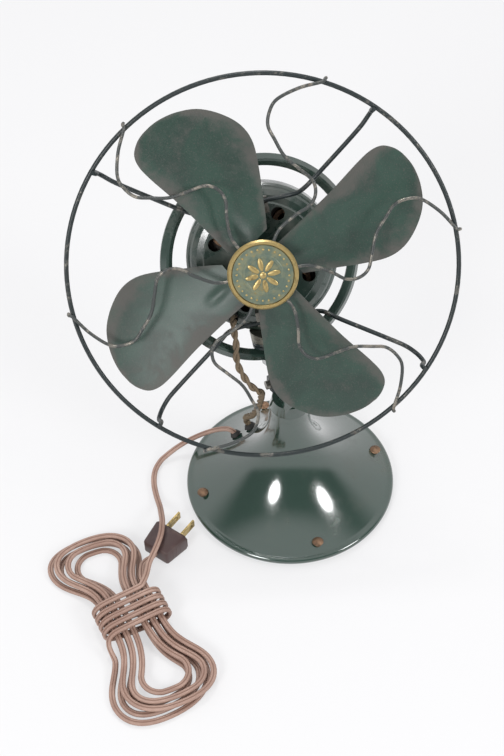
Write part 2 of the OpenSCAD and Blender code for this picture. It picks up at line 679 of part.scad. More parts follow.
module link_bar() {
    eye_r = 4.6;
    color(steel) link_place() difference() {
        union() {
            cylinder(r = eye_r, h = link_t);
            translate([link_len, 0, 0]) cylinder(r = eye_r, h = link_t);
            translate([0, -3, 0]) cube([link_len, 6, link_t]);
        }
        translate([0, 0, -1]) cylinder(r = 2 + run_gap, h = 9);
        translate([link_len, 0, -1]) cylinder(r = 2, h = 9);
    }
}
module link_screw() {
    color(steel) link_place() translate([link_len, 0, 0]) {
        cylinder(r = 2, h = link_t + 0.6);
        translate([0, 0, -1.8]) cylinder(r = 3.8, h = 1.8 - still_gap);
        translate([0, 0, -0.3]) cylinder(r = 1.9, h = 1);
    }
}

// Guard
module guard_ring() {
    color(dark_paint) on_axis() translate([0, 0, guard_a]) rotate_extrude($fn = 128)
        translate([guard_r, 0]) circle(r = ring_wire_r, $fn = 24);
}
// S-shaped front wire: radius, sideways place and forward place along the wire
wire_root = [[6, 0, wire_hub_a], [16, 0, wire_hub_a], [30, -1, wire_hub_a]];
wire_wave = [[42, -8, wire_hub_a], [50, -14.5, wire_hub_a - 0.2], [58, -16, wire_hub_a - 0.4],
    [65.5, -12, wire_hub_a - 0.7],
    [70, -2, wire_hub_a - 1], [75, 9.5, wire_hub_a - 1.3], [83, 18.5, wire_hub_a - 1.6],
    [90, 25, wire_hub_a - 1.9], [99, 26.5, wire_seat_a + 0.4], [107, 24, wire_seat_a + 0.2],
    [117, 13.5, wire_seat_a]];
wire_hook = [[guard_r, 1.5, wire_seat_a], [guard_r + 2.4, 0, guard_a + 1.6],
    [guard_r + 2.8, -0.6, guard_a - 0.8]];
function polar_out(q) = [-q[1], q[0], q[2]];
module guard_wire(i) {
    wave = [for (q = wire_wave) stretched(q)];
    route = [for (q = concat(wire_root, wave, wire_hook)) polar_out(q)];
    color(steel) on_axis() rotate([0, 0, wire_first + 360 / guard_wires * i]) tube(smooth(route, 3),
        front_wire_r, 8);
}
module guard_wire_1() { guard_wire(0); }
module guard_wire_2() { guard_wire(1); }
module guard_wire_3() { guard_wire(2); }
module guard_wire_4() { guard_wire(3); }
module guard_wire_5() { guard_wire(4); }
module guard_wire_6() { guard_wire(5); }

// Rear strut: sideways, up and forward places of half the wire, from its middle to the ring
strut_mid_a = 11;
strut_arm_a = 19.4;
strut_half = [[0, 39.6, strut_mid_a], [14, 39.6, strut_mid_a], [25, 39.6, strut_mid_a + 0.5],
    [32, 40.5, strut_mid_a + 3], [37.5, 43.5, strut_arm_a - 1.4]];
strut_arm = [[44, 48, strut_arm_a], [56, 56.5, strut_arm_a], [70, 66.5, strut_arm_a],
    [80, 74, strut_arm_a],
    [86, 80, strut_arm_a + 2], [88.8, 83.6, strut_arm_a + 7], [89, 84.6, guard_a - 7]];
strut_hook = [[guard_r - ring_wire_r - strut_r - still_gap, guard_a - 2.6],
    [guard_r - ring_wire_r - strut_r - still_gap, guard_a + 0.6], [guard_r - 1.4, guard_a + 3.1]];
strut_hook_at = 46;
strut_tip = [for (h = strut_hook) [h[0] * sin(strut_hook_at), h[0] * cos(strut_hook_at), h[1]]];
strut_route = concat(strut_half, [for (q = strut_arm) stretched(q)], strut_tip);
function strut_side(s) = [for (q = strut_route) [s * q[0], q[1], q[2]]];
function backwards(p) = [for (i = [len(p) - 1 : -1 : 0]) p[i]];
module guard_strut(flip) {
    side = strut_side(1);
    other = strut_side(-1);
    route = concat(backwards(other), [for (i = [1 : len(side) - 1]) side[i]]);
    color(dark_paint) on_axis() rotate([0, 0, flip]) tube(smooth(route, 2), strut_r, 8);
}
module guard_strut_upper() { guard_strut(0); }
module guard_strut_lower() { guard_strut(180); }
module strut_clips() {
    foot = 2 * strut_r + 3;
    color(steel) on_axis() for (flip = [0, 180], x = [-9, 9]) rotate([0, 0, flip])
        translate([x, 37, 0]) difference() {
        translate([-3, -foot + 1, face_a + still_gap])
            cube([6, foot + 4, strut_mid_a + strut_r + 1.4 - face_a]);
        translate([-5, 2.6, strut_mid_a]) rotate([0, 90, 0]) cylinder(r = strut_r + still_gap, h = 10);
        translate([-5, 1, face_a - 1]) cube([10, 9, strut_mid_a - strut_r - 1 - face_a]);
        translate([-5, 2.6 - strut_r, strut_mid_a]) cube([10, 20, 20]);
    }
}
module guard_plate() {
    color(dark_paint) on_axis() translate([0, 0, wire_hub_a - front_wire_r - still_gap - 1.6])
        cylinder(r = plate_r, h = 1.6);
}
badge_back = wire_hub_a + front_wire_r + still_gap;
module badge_rim() {
    color(brass) on_axis() translate([0, 0, badge_back]) rotate_extrude($fn = 96)
        polygon([[badge_r - 5, 0], [badge_r, 0], [badge_r, 1], [badge_r - 1, 2.2], [badge_r - 2.6, 2.2],
            [badge_r - 3.2, 1.2], [badge_r - 5, 1.2]]);
}
module badge_face() {
    face_r = badge_r - 3.3;
    color([0.34, 0.42, 0.38]) on_axis() translate([0, 0, badge_back]) rotate_extrude($fn = 96)
        polygon([[0, 0], [badge_r - 5.1, 0], [badge_r - 5.1, 1.3], [face_r, 1.3], [face_r, 1.7],
            [face_r - 6, 2], [face_r - 6.6, 2.4],
            [face_r - 8, 2.4], [face_r - 8.6, 2], [0, 2.2]]);
}
module lead_gland() {
    color(rubber) on_axis() rotate([0, 0, gland_at - 90]) translate([0, gland_r, 0]) difference() {
        translate([0, 0, face_a - 6]) cylinder(r = lead_hole_r - 0.5, h = 9);
        translate([0, 0, face_a - 9]) cylinder(r = lead_d / 2 + still_gap, h = 20);
    }
}

// Rotor and blades
module rotor_shaft() {
    color(steel) on_axis() translate([0, 0, -crank_y - 8]) cylinder(r = shaft_r, h = crank_y + 8
        + blade_a + 4);
}
module rotor_core() {
    color([0.45, 0.43, 0.40]) on_axis() translate([0, 0, -18.5]) difference() {
        cylinder(r = rotor_gap_r - 0.6, h = 15);
        translate([0, 0, -1]) cylinder(r = shaft_r + run_gap, h = 20);
    }
}
module blade_hub() {
    color(paint) on_axis() difference() {
        union() {
            translate([0, 0, blade_a - 8]) cylinder(r = hub_r, h = 9);
            translate([0, 0, front_boss_a + 1 + run_gap])
                cylinder(r = 9, h = blade_a - front_boss_a - 2 - run_gap);
        }
        cylinder(r = shaft_r + run_gap, h = 2 * blade_a);
        translate([0, 0, front_boss_a + 5]) rotate([0, 90, 0]) cylinder(r = 1.5, h = 20);
    }
}
module hub_screw() {
    color(steel) on_axis() translate([0, 0, front_boss_a + 5]) rotate([0, 90, 0])
        translate([0, 0, shaft_r + still_gap])
        cylinder(r = 1.4, h = 8 - shaft_r);
}
// Blade edges, out along the blade and across it, from the root to the tip
blade_lead = [[17, -20], [26, -27], [36, -34], [47, -42], [62, -51], [75, -53], [88.6, -49], [101, -41],
    [109, -30], [113, -20], [114.3, -13]];
blade_trail = [[17, 7], [28, 7], [40, 7], [53, 7.2], [66, 7.5], [78, 8.4], [90, 9.4], [101, 9.4],
    [108.5, 6.5],
    [112.8, 0], [114.3, -6]];
blade_across = 6;
// Tip radius that the edges are drawn for
drawn_blade_r = 114.3;
function blade_pitch(x) = 0.19 + 0.2 * exp(-pow(x / 42, 2));
function blade_bump(x, y) = 1.3 * exp(-pow((y + 8) / 3.2, 2)) * exp(-pow((x - 32) / 9, 4));
function blade_hollow(x) = 2.4 * min(1, x / 60) * (1 - pow(max(0, x - 70) / (drawn_blade_r - 70), 2));
function blade_rise(x, y, w) = blade_a + blade_pitch(x) * (y + 8) - blade_hollow(x) * (1 - w * w)
    + blade_bump(x, y);
module blade(i) {
    lead = smooth(blade_lead, 2);
    trail = smooth(blade_trail, 2);
    rows = len(lead);
    cols = blade_across + 1;
    grid = [for (r = [0 : rows - 1], c = [0 : blade_across]) let (s = c / blade_across,
        q = lead[r] * (1 - s) + trail[r] * s)
        [q[0] * blade_r / drawn_blade_r, q[1], blade_rise(q[0], q[1], 2 * s - 1)]];
    spots = concat([for (q = grid) q + [0, 0, blade_t / 2]], [for (q = grid) q - [0, 0, blade_t / 2]]);
    n = rows * cols;
    cells = [for (r = [0 : rows - 2], c = [0 : cols - 2]) r * cols + c];
    rim = concat([for (c = [0 : cols - 2]) c], [for (r = [0 : rows - 2]) r * cols + cols - 1],
        [for (c = [cols - 1 : -1 : 1]) (rows - 1) * cols + c], [for (r = [rows - 1 : -1 : 1]) r * cols]);
    faces = concat([for (a = cells, h = [0, 1]) h == 0 ? [a, a + cols + 1, a + cols]
        : [a, a + 1, a + cols + 1]],
        [for (a = cells, h = [0, 1]) h == 0 ? [n + a, n + a + cols, n + a + cols + 1]
            : [n + a, n + a + cols + 1, n + a + 1]],
        [for (k = [0 : len(rim) - 1], h = [0, 1]) let (a = rim[k], b = rim[(k + 1) % len(rim)])
            h == 0 ? [a, n + b, b] : [a, n + a, n + b]]);
    color(paint) on_axis() rotate([0, 0, blade_turn + 90 * i]) polyhedron(spots, faces, convexity = 6);
}
module blade_1() { blade(0); }
module blade_2() { blade(1); }
module blade_3() { blade(2); }
module blade_4() { blade(3); }
module blade_rivets() {
    color(steel) on_axis() for (i = [0 : 3]) rotate([0, 0, blade_turn + 90 * i])
        translate([hub_r - 5, -4, blade_a + 1 + still_gap])
        cylinder(r = 2, h = 1.4);
}

base_shell();
neck_clevis();
base_plate();
felt_pad();
base_rivets();
tilt_bolt();
tilt_nut();
cord_bushing();
lead_bushing();
mains_cord();
cord_hank();
plug_lead();
plug_body();
plug_blades();
yoke_ring();
yoke_tang();
pivot_post();
upper_pivot_screw();
link_stud();
motor_lead();
motor_front_shell();
motor_rear_shell();
stator_core();
field_coils();
shaft_bearings();
motor_screws();
pivot_boss();
upper_pivot_bush();
gear_case();
gear_cover();
cover_screws();
guard_ring();
guard_wire_1();
guard_wire_2();
guard_wire_3();
guard_wire_4();
guard_wire_5();
guard_wire_6();
guard_strut_upper();
guard_strut_lower();
strut_clips();
guard_plate();
badge_rim();
badge_face();
lead_gland();
rotor_shaft();
rotor_core();
blade_hub();
hub_screw();
blade_1();
blade_2();
blade_3();
blade_4();
blade_rivets();
worm();
worm_wheel();
crank_disc();
link_bar();
link_screw();
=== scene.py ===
"""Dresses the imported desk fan: paint, worn wire, cords, blades, plug and a plain studio."""

from __future__ import annotations

import json
import logging
import math
from dataclasses import dataclass, field
from enum import Enum
from typing import Iterable, Sequence, Union

import bmesh
import bpy
from mathutils import Matrix, Vector

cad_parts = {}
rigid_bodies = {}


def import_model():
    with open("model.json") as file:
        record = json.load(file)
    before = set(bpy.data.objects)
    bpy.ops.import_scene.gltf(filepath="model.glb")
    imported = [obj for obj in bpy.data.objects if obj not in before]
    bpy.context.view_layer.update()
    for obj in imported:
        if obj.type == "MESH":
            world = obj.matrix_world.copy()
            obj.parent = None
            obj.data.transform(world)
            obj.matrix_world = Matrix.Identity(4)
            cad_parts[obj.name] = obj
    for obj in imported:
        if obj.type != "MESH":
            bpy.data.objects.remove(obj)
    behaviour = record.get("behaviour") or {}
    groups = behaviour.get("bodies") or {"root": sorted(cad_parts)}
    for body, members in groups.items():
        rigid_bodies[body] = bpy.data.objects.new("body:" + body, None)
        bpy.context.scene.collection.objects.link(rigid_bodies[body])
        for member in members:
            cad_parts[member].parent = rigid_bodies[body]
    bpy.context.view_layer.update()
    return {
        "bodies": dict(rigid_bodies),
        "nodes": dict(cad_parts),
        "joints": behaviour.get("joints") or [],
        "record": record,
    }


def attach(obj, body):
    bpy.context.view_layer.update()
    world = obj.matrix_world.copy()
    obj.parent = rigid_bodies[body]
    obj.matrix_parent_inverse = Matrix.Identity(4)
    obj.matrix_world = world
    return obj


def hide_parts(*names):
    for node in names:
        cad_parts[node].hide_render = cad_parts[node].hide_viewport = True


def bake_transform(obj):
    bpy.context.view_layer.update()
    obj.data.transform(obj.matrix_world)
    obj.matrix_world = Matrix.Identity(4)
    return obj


LOG = logging.getLogger("fan")
MM = 0.001
Number = Union[int, float]

# Section of the flared base, in millimetres
NECK_R = 14.0
NECK_Z = 88.0
RIM_R = 72.0
RIM_Z = 7.0
FLARE_POWER = 2.6


def linear(red: int, green: int, blue: int) -> tuple[float, float, float, float]:
    """Turns a screen colour into the shader's linear one.

    Args:
        red: Red from 0 to 255.
        green: Green from 0 to 255.
        blue: Blue from 0 to 255.

    Returns:
        Linear colour with alpha 1.
    """
    parts = [c / 255 for c in (red, green, blue)]
    lin = [c / 12.92 if c <= 0.04045 else ((c + 0.055) / 1.055) ** 2.4 for c in parts]
    return (lin[0], lin[1], lin[2], 1.0)


class Body(str, Enum):
    """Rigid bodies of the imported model."""

    BASE = "base"
    YOKE = "yoke"
    HEAD = "head"
    FAN = "fan"
    CRANK = "crank"
    LINK = "link"


class Pose:
    """Places of the nested frames as the fan is shown, in metres."""

    tilt = math.radians(-32)
    swing = math.radians(-18)
    hinge = Vector((0, 0, 115 * MM))
    ring_up = Vector((0, 0, 85 * MM))

    @classmethod
    def yoke(cls) -> Matrix:
        """Returns the matrix of the ring yoke."""
        return Matrix.Translation(cls.hinge) @ Matrix.Rotation(cls.tilt, 4, "X")

    @classmethod
    def head(cls) -> Matrix:
        """Returns the matrix of the swinging head."""
        return cls.yoke() @ Matrix.Translation(cls.ring_up) @ Matrix.Rotation(cls.swing, 4, "Z")

    @classmethod
    def axis(cls) -> Matrix:
        """Returns the motor axis frame: X right, Y up, Z forward along the shaft."""
        return cls.head() @ Matrix.Rotation(math.radians(90), 4, "X")


def catmull(points: Sequence[Vector], steps: int) -> list[Vector]:
    """Smooths a line laid through given points.

    Args:
        points: Points that the line goes through.
        steps: Steps between two points.

    Returns:
        Points of the smooth line.
    """
    out: list[Vector] = []
    last = len(points) - 1
    for i in range(last):
        a, b = points[max(i - 1, 0)], points[i]
        c, d = points[i + 1], points[min(i + 2, last)]
        for k in range(steps):
            s = k / steps
            out.append(0.5 * (2 * b + (c - a) * s + (2 * a - 5 * b + 4 * c - d) * s * s
                              + (3 * b - a - 3 * c + d) * s * s * s))
    out.append(points[last].copy())
    return out


def length_of(points: Sequence[Vector]) -> float:
    """Returns the length of a line of points."""
    return sum((b - a).length for a, b in zip(points, points[1:]))


def even(points: Sequence[Vector], step: float) -> list[Vector]:
    """Lays points at even steps along a line.

    Args:
        points: Line to follow.
        step: Step in metres.

    Returns:
        Evenly spaced points with both ends kept.
    """
    total = length_of(points)
    count = max(2, round(total / step))
    out, seg, gone = [points[0].copy()], 0, 0.0
    for i in range(1, count):
        want = total * i / count
        while seg < len(points) - 2 and gone + (points[seg + 1] - points[seg]).length < want:
            gone += (points[seg + 1] - points[seg]).length
            seg += 1
        span = points[seg + 1] - points[seg]
        out.append(points[seg] + span * ((want - gone) / max(span.length, 1e-9)))
    out.append(points[-1].copy())
    return out


Value = Union["Field", Number, Sequence[float]]


class Field:
    """A shader socket that takes part in Python expressions."""

    def __init__(self, graph: "Graph", socket: bpy.types.NodeSocket) -> None:
        """Wraps one output socket of a graph."""
        self.graph = graph
        self.socket = socket

    def _math(self, operation: str, a: Value, b: Value) -> "Field":
        """Returns a Math node's result."""
        return self.graph.node("ShaderNodeMath", {"operation": operation}, {0: a, 1: b})

    def __add__(self, other: Value) -> "Field":
        """Adds."""
        return self._math("ADD", self, other)

    __radd__ = __add__

    def __sub__(self, other: Value) -> "Field":
        """Subtracts."""
        return self._math("SUBTRACT", self, other)

    def __rsub__(self, other: Value) -> "Field":
        """Subtracts from a number."""
        return self._math("SUBTRACT", other, self)

    def __mul__(self, other: Value) -> "Field":
        """Multiplies."""
        return self._math("MULTIPLY", self, other)

    __rmul__ = __mul__

    def above(self, low: float, high: float) -> "Field":
        """Returns a soft step from 0 at low to 1 at high."""
        return self.graph.node("ShaderNodeMapRange", {"interpolation_type": "SMOOTHSTEP"},
                               {"Value": self, "From Min": low, "From Max": high})


class Graph:
    """One node material and the few helpers that its finish needs."""

    def __init__(self, name: str) -> None:
        """Starts a material with a Principled shader."""
        self.material = bpy.data.materials.new(name)
        self.material.use_nodes = True
        self.tree = self.material.node_tree
        self.shader = self.tree.nodes["Principled BSDF"]

    def put(self, socket: bpy.types.NodeSocket, value: Value) -> None:
        """Links a field to a socket or sets its value."""
        if isinstance(value, Field):
            self.tree.links.new(value.socket, socket)
        else:
            socket.default_value = value

    def node(self, kind: str, settings: dict, inputs: dict, output: Union[int, str] = 0) -> Field:
        """Adds a node.

        Args:
            kind: Node type.
            settings: Attributes, set first.
            inputs: Values or fields by socket name or number.
            output: Output socket to return.

        Returns:
            The chosen output.
        """
        made = self.tree.nodes.new(kind)
        for key, value in settings.items():
            setattr(made, key, value)
        for key, value in inputs.items():
            self.put(made.inputs[key], value)
        return Field(self, made.outputs[output])

    def ray(self, kind: str) -> Field:
        """Returns 1 for rays of one kind."""
        return self.node("ShaderNodeLightPath", {}, {}, kind)

    def seen(self) -> Field:
        """Returns 1 for the camera's rays and for those that a piece mirrors or lets through."""
        return self.ray("Is Camera Ray") + self.ray("Is Glossy Ray") + self.ray("Is Transmission Ray")

    def place(self) -> Field:
        """Returns Object coordinates."""
        return self.node("ShaderNodeTexCoord", {}, {}, "Object")

    def noise(self, scale: float, detail: float, rough: float, warp: float = 0.0) -> Field:
        """Returns a noise value on Object coordinates."""
        return self.node("ShaderNodeTexNoise", {}, {"Vector": self.place(), "Scale": scale, "Detail": detail,
                                                    "Roughness": rough, "Distortion": warp})

    def attribute(self, name: str) -> Field:
        """Returns a value stored on the mesh."""
        return self.node("ShaderNodeAttribute", {"attribute_name": name}, {}, "Fac")

    def mix(self, amount: Value, a: Value, b: Value) -> Field:
        """Mixes two colours."""
        return self.node("ShaderNodeMix", {"data_type": "RGBA"}, {0: amount, 6: a, 7: b}, 2)

    def bump(self, height: Field, strength: float, distance: float) -> None:
        """Feeds a height to the shader's normal."""
        self.put(self.shader.inputs["Normal"], self.node("ShaderNodeBump", {}, {
            "Strength": strength, "Distance": distance, "Height": height}))

    def surface(self, **sockets: Value) -> bpy.types.Material:
        """Sets the shader's sockets and returns the material."""
        for name, value in sockets.items():
            self.put(self.shader.inputs[name.replace("_", " ")], value)
        return self.material


class Sky(Graph):
    """The studio's world, on the same helpers."""

    def __init__(self, name: str) -> None:
        """Starts a world."""
        self.world = bpy.data.worlds.new(name)
        self.world.use_nodes = True
        self.tree = self.world.node_tree


@dataclass(frozen=True)
class Enamel:
    """Old stove enamel: gloss, dulled patches, fine chips down to brown primer."""

    name: str
    colour: tuple
    faded: tuple
    chip: tuple
    wear: float = 0.5
    gloss: float = 0.2
    coat: float = 0.5

    def make(self) -> bpy.types.Material:
        """Returns the enamel as a material."""
        g = Graph(self.name)
        cloud = g.noise(22, 5, 0.6, 0.4)
        grime = g.noise(95, 6, 0.65, 0.6)
        fine = g.noise(900, 3, 0.6)
        chips = g.noise(210, 5, 0.7, 1.2)
        dull = (cloud * 0.65 + grime * 0.35).above(0.50, 0.72) * self.wear
        bare = (chips * 0.6 + cloud * 0.4).above(0.665, 0.70) * min(1.0, self.wear * 1.6)
        tone = g.mix(dull, self.colour, self.faded)
        tone = g.mix(bare, tone, self.chip)
        rough = cloud * 0.10 + dull * 0.28 + bare * 0.3 + fine * 0.06 + (self.gloss - 0.08)
        g.bump(fine * 0.25 + grime * 0.55 - bare * 1.2, 0.16, 0.0006)
        return g.surface(Base_Color=tone, Roughness=rough, Metallic=0.0, Coat_Weight=(1 - dull) * self.coat,
                         Coat_Roughness=0.07, Coat_IOR=1.6, IOR=1.65)


@dataclass(frozen=True)
class DustyEnamel:
    """Matt enamel of the blades: grey-brown dust and rubbing that grow towards the edges."""

    name: str
    colour: tuple
    dusty: tuple
    bare: tuple
    deep: tuple = linear(20, 38, 32)

    def make(self) -> bpy.types.Material:
        """Returns the blades' material."""
        g = Graph(self.name)
        rim = g.attribute("rim")
        cloud = g.noise(26, 6, 0.62, 0.8)
        grime = g.noise(110, 6, 0.7, 0.5)
        fine = g.noise(1000, 3, 0.65)
        drift = g.noise(11, 4, 0.6, 1.2)
        clouds = cloud * 0.7 + grime * 0.5 + drift * 0.6
        dust = (rim.above(0.2, 1.0) * 0.28 + clouds).above(0.93, 1.26) * 0.82
        rubbed = (rim * 0.5 + grime * 0.4 + fine * 0.25).above(0.90, 0.98)
        tone = g.mix(cloud.above(0.35, 0.65) * 0.6, self.colour, self.deep)
        tone = g.mix(dust, tone, self.dusty)
        tone = g.mix(fine.above(0.52, 0.7) * 0.4, tone, self.dusty)
        tone = g.mix(rubbed, tone, self.bare)
        g.bump(fine * 0.5 + grime * 0.6, 0.2, 0.0006)
        rough = cloud * 0.12 + dust * 0.25 + fine * 0.08 + 0.36
        return g.surface(Base_Color=tone, Roughness=rough, Metallic=rubbed * 0.5,
                         Coat_Weight=(1 - dust) * 0.16, Coat_Roughness=0.32)


@dataclass(frozen=True)
class WornWire:
    """Painted wire rubbed to grey metal, with brown stains."""

    name: str
    paint: tuple
    metal: tuple
    stain: tuple
    bare: float = 0.5

    def make(self) -> bpy.types.Material:
        """Returns the wire's material."""
        g = Graph(self.name)
        patch = g.noise(75, 5, 0.65, 0.8)
        speck = g.noise(420, 4, 0.7)
        brown = g.noise(130, 4, 0.6, 0.5)
        rubbed = (patch * 0.7 + speck * 0.3).above(0.56 - 0.16 * self.bare, 0.66 - 0.12 * self.bare)
        stained = brown.above(0.55, 0.72)
        metal = g.mix(stained, self.metal, self.stain)
        tone = g.mix(rubbed, self.paint, metal)
        rough = speck * 0.2 + stained * 0.15 + 0.28
        g.bump(speck * 0.7 - rubbed * 0.6, 0.3, 0.0004)
        return g.surface(Base_Color=tone, Roughness=rough, Metallic=rubbed * (1 - stained * 0.7) * 0.85)


@dataclass(frozen=True)
class Metal:
    """Bare metal with tarnish in noise patches."""

    name: str
    colour: tuple
    tarnish: tuple
    rough: float = 0.32
    amount: float = 0.5
    grain: float = 500.0

    def make(self) -> bpy.types.Material:
        """Returns the metal's material."""
        g = Graph(self.name)
        cloud = g.noise(120, 5, 0.65, 0.6)
        fine = g.noise(self.grain, 3, 0.6)
        dark = (cloud * 0.7 + fine * 0.3).above(0.46, 0.64) * self.amount
        g.bump(fine * 0.8 + cloud * 0.4, 0.2, 0.0004)
        tone = g.mix(dark, self.colour, self.tarnish)
        rough = dark * 0.25 + fine * 0.1 + self.rough
        return g.surface(Base_Color=tone, Roughness=rough, Metallic=1.0 - dark * 0.35)


@dataclass(frozen=True)
class Moulding:
    """Rubber or moulded plastic with a fine grain and rubbed patches."""

    name: str
    colour: tuple
    rubbed: tuple
    rough: float = 0.5

    def make(self) -> bpy.types.Material:
        """Returns the moulding's material."""
        g = Graph(self.name)
        cloud = g.noise(90, 5, 0.6, 0.4)
        fine = g.noise(1100, 3, 0.6)
        worn = cloud.above(0.48, 0.7)
        g.bump(fine + cloud * 0.5, 0.15, 0.0004)
        tone = g.mix(worn * 0.7, self.colour, self.rubbed)
        rough = worn * 0.15 + fine * 0.1 + self.rough
        return g.surface(Base_Color=tone, Roughness=rough, Metallic=0.0)


@dataclass(frozen=True)
class FlexSkin:
    """Aged skin of the flat twin cord, with painted shade that darkens the groove between its two cores."""

    name: str
    colour: tuple
    pale: tuple
    # Colour of the painted shade in the groove between the cores, also used for fine darker specks.
    groove_shade: tuple

    def make(self) -> bpy.types.Material:
        """Returns the cord's material."""
        g = Graph(self.name)
        cloud = g.noise(35, 4, 0.6, 0.5)
        fine = g.noise(700, 4, 0.65)
        # Painted shade: the groove vertices are mixed towards the darker shade colour, standing in for the
        # shade that falls between the cores.
        groove_shade_mask = g.attribute("groove_shade").above(0.15, 0.95)
        tone = g.mix(cloud.above(0.35, 0.7), self.colour, self.pale)
        tone = g.mix(groove_shade_mask * 0.85, tone, self.groove_shade)
        # Fine random specks, mixed a little towards the same painted-shade colour.
        tone = g.mix(fine.above(0.55, 0.8) * 0.3, tone, self.groove_shade)
        g.bump(fine * 0.6 + cloud * 0.4, 0.2, 0.0004)
        return g.surface(Base_Color=tone, Roughness=fine * 0.15 + 0.48, Metallic=0.0)


@dataclass(frozen=True)
class Braid:
    """Woven cotton over the motor lead: crossing threads along each core."""

    name: str
    dark: tuple
    light: tuple
    pitch: float = 4200.0
    threads: float = 25.1327

    def make(self) -> bpy.types.Material:
        """Returns the braid's material."""
        g = Graph(self.name)
        along = g.attribute("along") * self.pitch
        across = g.attribute("round") * self.threads
        one = g.node("ShaderNodeMath", {"operation": "SINE"}, {0: along + across})
        two = g.node("ShaderNodeMath", {"operation": "SINE"}, {0: along - across})
        weave = (one * two) * 0.5 + 0.5
        dirt = g.noise(160, 4, 0.6)
        tone = g.mix(weave * 0.6 + dirt * 0.4, self.dark, self.light)
        g.bump(weave, 0.6, 0.0004)
        return g.surface(Base_Color=tone, Roughness=dirt * 0.15 + 0.75, Metallic=0.0)


@dataclass(frozen=True)
class BadgeField:
    """Grey-green enamel with a greenish bloom and brass showing through."""

    name: str
    colour: tuple
    bloom: tuple
    brass: tuple

    def make(self) -> bpy.types.Material:
        """Returns the badge's material."""
        g = Graph(self.name)
        cloud = g.noise(160, 5, 0.6, 0.4)
        fine = g.noise(900, 4, 0.65)
        through = (cloud * 0.5 + fine * 0.5).above(0.55, 0.66)
        tone = g.mix(cloud.above(0.4, 0.65), self.colour, self.bloom)
        g.bump(fine * 0.6, 0.25, 0.0003)
        tone = g.mix(through * 0.7, tone, self.brass)
        return g.surface(Base_Color=tone, Roughness=fine * 0.2 + 0.32, Metallic=through * 0.8 + 0.15)


class Finishes:
    """Every finish of the fan, made once and kept by the record's slot names."""

    def __init__(self) -> None:
        """Makes the materials."""
        green, grey_green = linear(33, 56, 47), linear(78, 82, 74)
        self.blades = DustyEnamel("dusty blade enamel", linear(34, 62, 51), linear(80, 77, 73),
                                  linear(128, 122, 112)).make()
        self.motor = Enamel("dusty motor enamel", linear(42, 60, 53), linear(98, 99, 92), linear(92, 78, 64),
                            0.8, 0.24, 0.5).make()
        self.slots: dict[str, bpy.types.Material] = {
            "green_paint": Enamel("green enamel", green, grey_green, linear(84, 68, 54),
                                  0.5, 0.15, 1.0).make(),
            "dark_paint": WornWire("black-green rubbed paint", linear(27, 36, 37), linear(116, 114, 108),
                                   linear(74, 62, 52), 0.12).make(),
            "steel": Metal("dull steel", linear(140, 137, 130), linear(78, 70, 60), 0.36, 0.8).make(),
            "pale_metal": Metal("pale cast metal", linear(134, 132, 122), linear(74, 70, 62),
                                0.42, 0.8).make(),
            "worn_wire": WornWire("wire rubbed to metal", linear(54, 58, 57), linear(140, 135, 126),
                                  linear(92, 78, 66), 0.5).make(),
            "brass": Metal("old brass", linear(186, 164, 112), linear(112, 100, 66), 0.34, 0.85, 700).make(),
            "copper": Metal("copper brown", linear(148, 120, 98), linear(88, 70, 57), 0.5, 0.9).make(),
            "laminations": Metal("oiled iron", linear(80, 76, 72), linear(46, 41, 38), 0.45, 0.7).make(),
            "badge_enamel": BadgeField("badge enamel", linear(84, 98, 86), linear(112, 116, 92),
                                       linear(156, 132, 82)).make(),
            "rubber": Moulding("black rubber", linear(34, 33, 32), linear(52, 50, 47), 0.6).make(),
            "felt": Moulding("dark felt", linear(40, 46, 42), linear(58, 62, 56), 0.85).make(),
            # The cord's third colour is the painted shade of its groove.
            "cord": FlexSkin("twin cord skin", linear(142, 113, 100), linear(166, 138, 124),
                             linear(104, 72, 56)).make(),
            "cloth": Braid("cotton braid", linear(66, 56, 43), linear(136, 118, 94)).make(),
            "plug_brown": Moulding("dark brown moulding", linear(70, 52, 50), linear(104, 84, 78),
                                   0.35).make(),
        }

    def dress(self, piece: bpy.types.Object, slot: str) -> None:
        """Gives a piece one of the finishes."""
        piece.data.materials.clear()
        piece.data.materials.append(self.slots[slot])


class Shop:
    """Turns meshes and lines into finished pieces that ride on a body."""

    def __init__(self, finishes: Finishes) -> None:
        """Keeps the finishes."""
        self.finishes = finishes

    def link(self, name: str, data: Union[bpy.types.Mesh, bpy.types.Curve]) -> bpy.types.Object:
        """Puts new data into the scene."""
        piece = bpy.data.objects.new(name, data)
        bpy.context.scene.collection.objects.link(piece)
        return piece

    def done(self, piece: bpy.types.Object, slot: str, body: Union[Body, None], nodes: Iterable[str] = (),
             finish: Union[bpy.types.Material, None] = None) -> bpy.types.Object:
        """Finishes a piece.

        Args:
            piece: Object at the origin.
            slot: Finish of the piece.
            body: Body that carries it, or None where it spans two bodies and rides on neither.
            nodes: CAD nodes that it stands for.
            finish: Material other than the slot's usual one.

        Returns:
            The piece.
        """
        self.finishes.dress(piece, slot)
        if finish is not None:
            piece.data.materials[0] = finish
        if body is not None:
            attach(piece, body.value)
        if nodes:
            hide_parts(*nodes)
        LOG.info("made %s", piece.name)
        return piece

    def mesh(self, name: str, made: bmesh.types.BMesh) -> bpy.types.Object:
        """Writes a bmesh into a new smooth object and frees it."""
        bmesh.ops.recalc_face_normals(made, faces=made.faces)
        data = bpy.data.meshes.new(name)
        made.to_mesh(data)
        made.free()
        data.shade_smooth()
        return self.link(name, data)

    def wire(self, name: str, points: Sequence[Vector], radius: float) -> bpy.types.Object:
        """Makes a round wire along a line of points."""
        curve = bpy.data.curves.new(name, "CURVE")
        curve.dimensions = "3D"
        curve.bevel_depth = radius
        curve.bevel_resolution = 4
        curve.use_fill_caps = True
        spline = curve.splines.new("POLY")
        spline.points.add(len(points) - 1)
        for spot, p in zip(spline.points, points):
            spot.co = (*p, 1.0)
        spline.use_smooth = True
        return self.link(name, curve)


